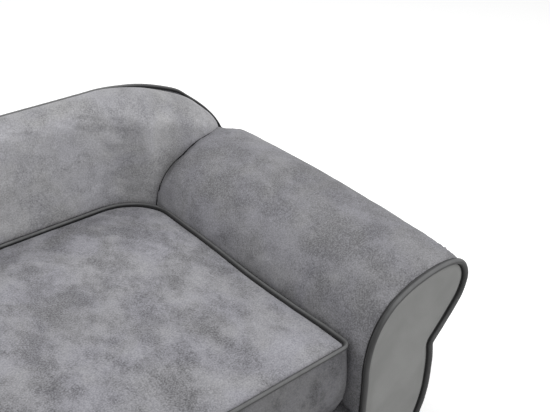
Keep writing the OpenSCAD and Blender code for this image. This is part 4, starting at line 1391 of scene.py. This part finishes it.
@dataclass
class SeatCushion:
    """The lift-out box cushion with its piping and zip."""

    sizes: SofaSizes
    form: CushionForm
    bottom_rings: int = 4
    side_rings: int = 26
    top_rings: int = 38
    bottom_middle_share: float = 0.2
    bottom_inset: float = 1.5 * MM
    bottom_rise: float = 0.8 * MM
    top_middle_share: float = 0.015
    top_crowding: float = 1.7
    spare_width: float = 2.2 * MM
    zip_half: float = 160 * MM
    zip_depth: float = 20 * MM
    room: float = 2.5 * MM
    seam_dip: float = 2.2 * MM
    seam_r: float = 1 * MM
    groove_r: float = 0.7 * MM
    groove_out: float = 2.2 * MM
    groove_start: float = 12 * MM
    tooth_pitch: float = 2.0 * MM

    def build(self) -> None:
        """Makes and dresses the cushion's pieces."""
        self.cover()
        self.piping()
        self.zip()

    def cover(self) -> None:
        """One stuffed skin: bottom, boxing with its bulge, seam at the piping, and the crowned top."""
        s, f = self.sizes, self.form
        rings, pins = [], []
        bottom = s.deck_height
        top_of_boxing = f.welt_z - 0.5 * s.piping_r
        for k in range(self.bottom_rings):
            keep = lerp(self.bottom_middle_share, 1, (k + 1) / self.bottom_rings)
            rings.append([(x * keep, y * keep, bottom)
                          for x, y in f.plan(s.boxing_draw + self.bottom_inset, s.zip_recess)])
            pins.append(1.0)
        for k in range(self.side_rings + 1):
            share = k / self.side_rings
            d, rear = f.boxing(share)
            height = lerp(bottom + self.bottom_rise, top_of_boxing, share)
            rings.append([(x, y, height) for x, y in f.plan(d, rear)])
            pins.append(1.0 if k in (0, self.side_rings) else 0.0)
        outline = f.plan(f.welt_inset + s.cushion_cord_r, 0)
        middle_y = (f.front_y + f.rear_y) / 2
        for k in range(self.top_rings + 1):
            share = (k / self.top_rings) ** self.top_crowding
            drop = self.seam_dip * near(share * f.half_w * 0.8, 2.5 * MM)
            height = f.welt_z - drop + s.cushion_crown * (1 - (1 - share) ** 3)
            keep = lerp(1, self.top_middle_share, share)
            rings.append([(x * keep, middle_y + (y - middle_y) * keep, height) for x, y in outline])
            pins.append(1.0 if k == 0 else 0.0)
        obj = grid_object("cushion_cover", rings, wrap=True, flip=True, close_ends=True)
        count = len(rings[0])

        def hold(i: int, p: Vector) -> float:
            """Held at the bottom, at the seams and round the zip."""
            under_seam = p.z < f.welt_z - s.piping_r
            by_zip = under_seam and p.y > f.rear_y - self.zip_depth and abs(p.x) < self.zip_half
            return 1.0 if by_zip or i // count >= len(pins) else pins[i // count]

        ClothRun(pressure=2.2, slack=0.01, cap=self.room).relax(obj, hold)
        self._keep_clear(obj)
        displace(obj, self._puckers)
        place_piece(obj, Body.CUSHION, "plush", PLUSH, "cushion_foam", "cushion_top_cover", "cushion_boxing",
                    "cushion_bottom_cover")
        # The boxing faces get the darker copy of the plush, painted shade.
        obj.data.materials.append(SHADED_BOXING_PLUSH.material())
        first = self.bottom_rings - 1
        sides = range(first * count, (first + self.side_rings + 1) * count)
        for face in obj.data.polygons:
            face.material_index = 1 if face.index in sides else 0

    def _keep_clear(self, obj: bpy.types.Object) -> None:
        """Keeps the boxing's bulge off the arms and the deck."""
        limit = self.form.half_w + self.spare_width
        for v in obj.data.vertices:
            v.co.x = min(max(v.co.x, -limit), limit)
            v.co.z = max(v.co.z, self.sizes.deck_height)
            v.co.y = min(v.co.y, self.form.rear_y)
        obj.data.update()

    def _puckers(self, p: Vector) -> float:
        """Gathers below the piping and broad unevenness of the top."""
        f = self.form
        if p.z < self.sizes.deck_height + 1 * MM:
            return 0.0
        edge = min(f.half_w - abs(p.x), p.y - f.front_y, f.rear_y - p.y)
        on_top = p.z >= f.welt_z - 1 * MM
        seam = near(edge, 14 * MM) if on_top else near(f.welt_z - p.z, 8 * MM)
        gathers = 0.3 * MM * seam * ripple(p, 9 * MM, 1.0)
        return gathers + 0.8 * MM * ripple(p, 75 * MM, 9.0) * smooth(edge / (9 * MM))

    def piping(self) -> None:
        """The cord round the cushion's top edge, and dark strands beside it that paint the shade of its
        seams.
        """
        s, f = self.sizes, self.form
        path = [(x, y, f.welt_z) for x, y in f.plan(f.welt_inset, 0)]
        # The cord's colour carries a painted highlight on top and painted shade on its sides.
        cord = GEOMETRY.piping("cushion_piping", path, s.cushion_cord_r, TOP_LIT_PIPING_CLOTH, cyclic=True, seed=7.0)
        place_piece(cord, Body.CUSHION, "piping_cloth", TOP_LIT_PIPING_CLOTH, "cushion_top_piping")
        # Near black strands inside and outside the cord: seam lines painted as dark as their shadow.
        for piece, inward, drop, start in (
                ("cushion_piping_seam", s.cushion_cord_r + 0.3 * MM, 1 * MM, f.front_y),
                ("cushion_piping_groove", -self.groove_out, -1 * MM, f.front_y + self.groove_start)):
            path = [(x, y, f.welt_z - drop) for x, y in f.plan(f.welt_inset + inward, 0) if y >= start]
            strand = GEOMETRY.piping(piece, path, self.seam_r if inward > 0 else self.groove_r, SHADOW_STRAND_CLOTH,
                                     cyclic=inward > 0, unevenness=0.2, seed=8.0, ripple=160.0)
            place_piece(strand, Body.CUSHION, "piping_cloth", SHADOW_STRAND_CLOTH)

    def zip(self) -> None:
        """Nylon coil teeth along the zip, made by a repeating tree."""
        low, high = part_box("zip_coil")
        tooth = bpy.data.meshes.new("zip_tooth")
        bm = bmesh.new()
        bmesh.ops.create_uvsphere(bm, u_segments=8, v_segments=6, radius=1.0)
        radius = (high.z - low.z) / 2
        bmesh.ops.scale(bm, vec=(0.42 * self.tooth_pitch, radius, radius * 0.98), verts=bm.verts)
        bm.to_mesh(tooth)
        bm.free()
        count = int((high.x - low.x) / self.tooth_pitch)
        start = (low.x + self.tooth_pitch / 2, (low.y + high.y) / 2, (low.z + high.z) / 2)
        coil = GEOMETRY.run(linked("zip_tooth", tooth), GEOMETRY.repeat_tree(), "zip_teeth", Count=count,
                            Start=start, Offset=(self.tooth_pitch, 0.0, 0.0), Material=ZIP_NYLON.material())
        place_piece(coil, Body.CUSHION, "zip_nylon", ZIP_NYLON, "zip_coil")


@dataclass
class Base:
    """The deck cover and the nodes of the base that keep their shape."""

    sizes: SofaSizes
    apron_roll_r: float = 10 * MM
    finishes: dict[str, Finish] = field(default_factory=lambda: {
        "plush": PLUSH, "plush_dark": DARK_PLUSH, "panel_cloth": PANEL_CLOTH, "piping_cloth": TOP_LIT_PIPING_CLOTH,
        "lining": LINING, "zip_nylon": ZIP_NYLON, "foam": FOAM, "softwood": SOFTWOOD, "board": BOARD,
        "hardboard": HARDBOARD, "foot_plastic": FOOT_PLASTIC, "glide": GLIDE, "steel": STEEL})

    def build(self) -> None:
        """Dresses every node and makes the deck cover."""
        self.dress_nodes()
        self.deck_cover()

    def dress_nodes(self) -> None:
        """Gives each node the finish of its material slot in the record."""
        for part in frame["record"]["subparts"]:
            dress(frame["nodes"][part["node"]], self.finishes[part["material_slot"]])

    def deck_cover(self) -> None:
        """The cloth over the deck, turned down over the front of the base."""
        s = self.sizes
        low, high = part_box("deck_cover")
        front, radius, top = low.y, self.apron_roll_r, s.deck_height
        section = [(front, z) for z in np.linspace(s.base_z, top - radius, 24)]
        section += [(front + radius - radius * math.cos(a), top - radius + radius * math.sin(a))
                    for a in np.linspace(0.1, math.pi / 2, 10)]
        section += [(y, top) for y in np.linspace(front + radius + 4 * MM, high.y, 50)]
        rows = [[(x, y, z) for y, z in section] for x in np.linspace(low.x, high.x, 100)]
        obj = grid_object("deck_cloth", rows, flip=True)
        displace(obj, lambda p: 0.4 * MM * ripple(p, 50 * MM, 11.0) if p.y < front + radius else 0.0)
        place_piece(obj, Body.SOFA, "plush_dark", DARK_PLUSH, "deck_cover", "deck_pad")


@dataclass
class Studio:
    """Camera, lamps, floor and background."""

    azimuth: float = -39.4
    elevation: float = 30.6
    focal_px: float = 824.0
    image_width: float = 550.0
    sensor: float = 36.0
    camera_place: tuple[float, float, float] = (-0.1975, -0.5817, 0.6638)
    world_strength: float = 0.4
    key_power: float = 14.6
    fill_power: float = 15.0
    floor_half: float = 6.0
    floor_glow: float = 0.45

    def build(self) -> None:
        """Makes everything that isn't the sofa."""
        self.camera()
        self.world()
        self.floor()
        self.lamps()
        bpy.context.scene.view_settings.view_transform = "Standard"

    def camera(self) -> None:
        """The camera at the photograph's viewing angle."""
        data = bpy.data.cameras.new("camera")
        data.sensor_width = self.sensor
        data.lens = self.focal_px / self.image_width * self.sensor
        data.clip_start, data.clip_end = 0.01, 20.0
        a, e = math.radians(self.azimuth), math.radians(self.elevation)
        back = Vector((math.sin(a) * math.cos(e), -math.cos(a) * math.cos(e), math.sin(e)))
        bpy.context.scene.camera = self._aimed(linked("camera", data), self.camera_place, -back)

    @staticmethod
    def _aimed(obj: bpy.types.Object, place: Sequence[float], toward: Vector) -> bpy.types.Object:
        """Puts a camera or a lamp in its place and turns it one way."""
        obj.location = place
        obj.rotation_mode = "QUATERNION"
        obj.rotation_quaternion = toward.to_track_quat("-Z", "Y")
        return obj

    @staticmethod
    def _seen_directly(nodes: Nodes) -> bpy.types.NodeSocket:
        """A mask of the rays that see the background itself or through a shiny surface."""
        rays = nodes.add("ShaderNodeLightPath")
        shiny = nodes.maths("MAXIMUM", rays.outputs["Is Glossy Ray"], rays.outputs["Is Transmission Ray"])
        return nodes.maths("MAXIMUM", rays.outputs["Is Camera Ray"], shiny)

    def world(self) -> None:
        """A white background with a softer light of its own."""
        world = bpy.data.worlds.new("studio")
        nodes = fresh_nodes(world)
        seen = nodes.add("ShaderNodeBackground", {"Color": (1, 1, 1, 1), "Strength": 1.0})
        lit = nodes.add("ShaderNodeBackground", {"Color": (1, 1, 1, 1), "Strength": self.world_strength})
        both = nodes.add("ShaderNodeMixShader", {0: self._seen_directly(nodes), 1: lit.outputs[0],
                                                 2: seen.outputs[0]})
        nodes.add("ShaderNodeOutputWorld", {"Surface": both.outputs[0]})
        bpy.context.scene.world = world

    def floor(self) -> None:
        """A pale floor that keeps the sofa's shadow."""
        size = self.floor_half
        obj = mesh_object("floor", [(-size, -size, 0), (size, -size, 0), (size, size, 0), (-size, size, 0)],
                          [(0, 1, 2, 3)])
        made = bpy.data.materials.new("floor")
        nodes = fresh_nodes(made)
        diffuse = nodes.add("ShaderNodeBsdfDiffuse", {"Color": (0.9, 0.9, 0.9, 1)})
        glow = nodes.add("ShaderNodeEmission", {"Color": (1, 1, 1, 1), "Strength": self.floor_glow})
        bright = nodes.add("ShaderNodeAddShader", {0: diffuse.outputs[0], 1: glow.outputs[0]})
        pick = nodes.add("ShaderNodeMixShader", {0: self._seen_directly(nodes), 1: diffuse.outputs[0],
                                                 2: bright.outputs[0]})
        nodes.add("ShaderNodeOutputMaterial", {"Surface": pick.outputs[0]})
        obj.data.materials.append(made)

    def lamps(self) -> None:
        """One large soft lamp above, and a weaker one from the front."""
        for name, power, size, place, target in (
                ("key", self.key_power, 1.4, (-0.15, 0.58, 1.42), (0, 0.05, 0.15)),
                ("fill", self.fill_power, 1.8, (0.9, -1.5, 1.05), (0, 0, 0.15))):
            data = bpy.data.lights.new(name, "AREA")
            data.energy, data.size, data.shape = power, size, "SQUARE"
            self._aimed(linked(name, data), place, Vector(target) - Vector(place))


def main() -> None:
    """Builds the sub-assemblies in order."""
    logging.basicConfig(level=logging.INFO, format="%(message)s")
    sizes = SofaSizes.from_frame()
    profile = ArmProfile(sizes)
    back_form = BackForm(sizes, profile)
    Studio().build()
    Base(sizes).build()
    for side in Side:
        Arm(sizes, side, profile, back_form).build()
    Back(sizes, back_form).build()
    SeatCushion(sizes, CushionForm(sizes)).build()


if __name__ == "__main__":
    main()
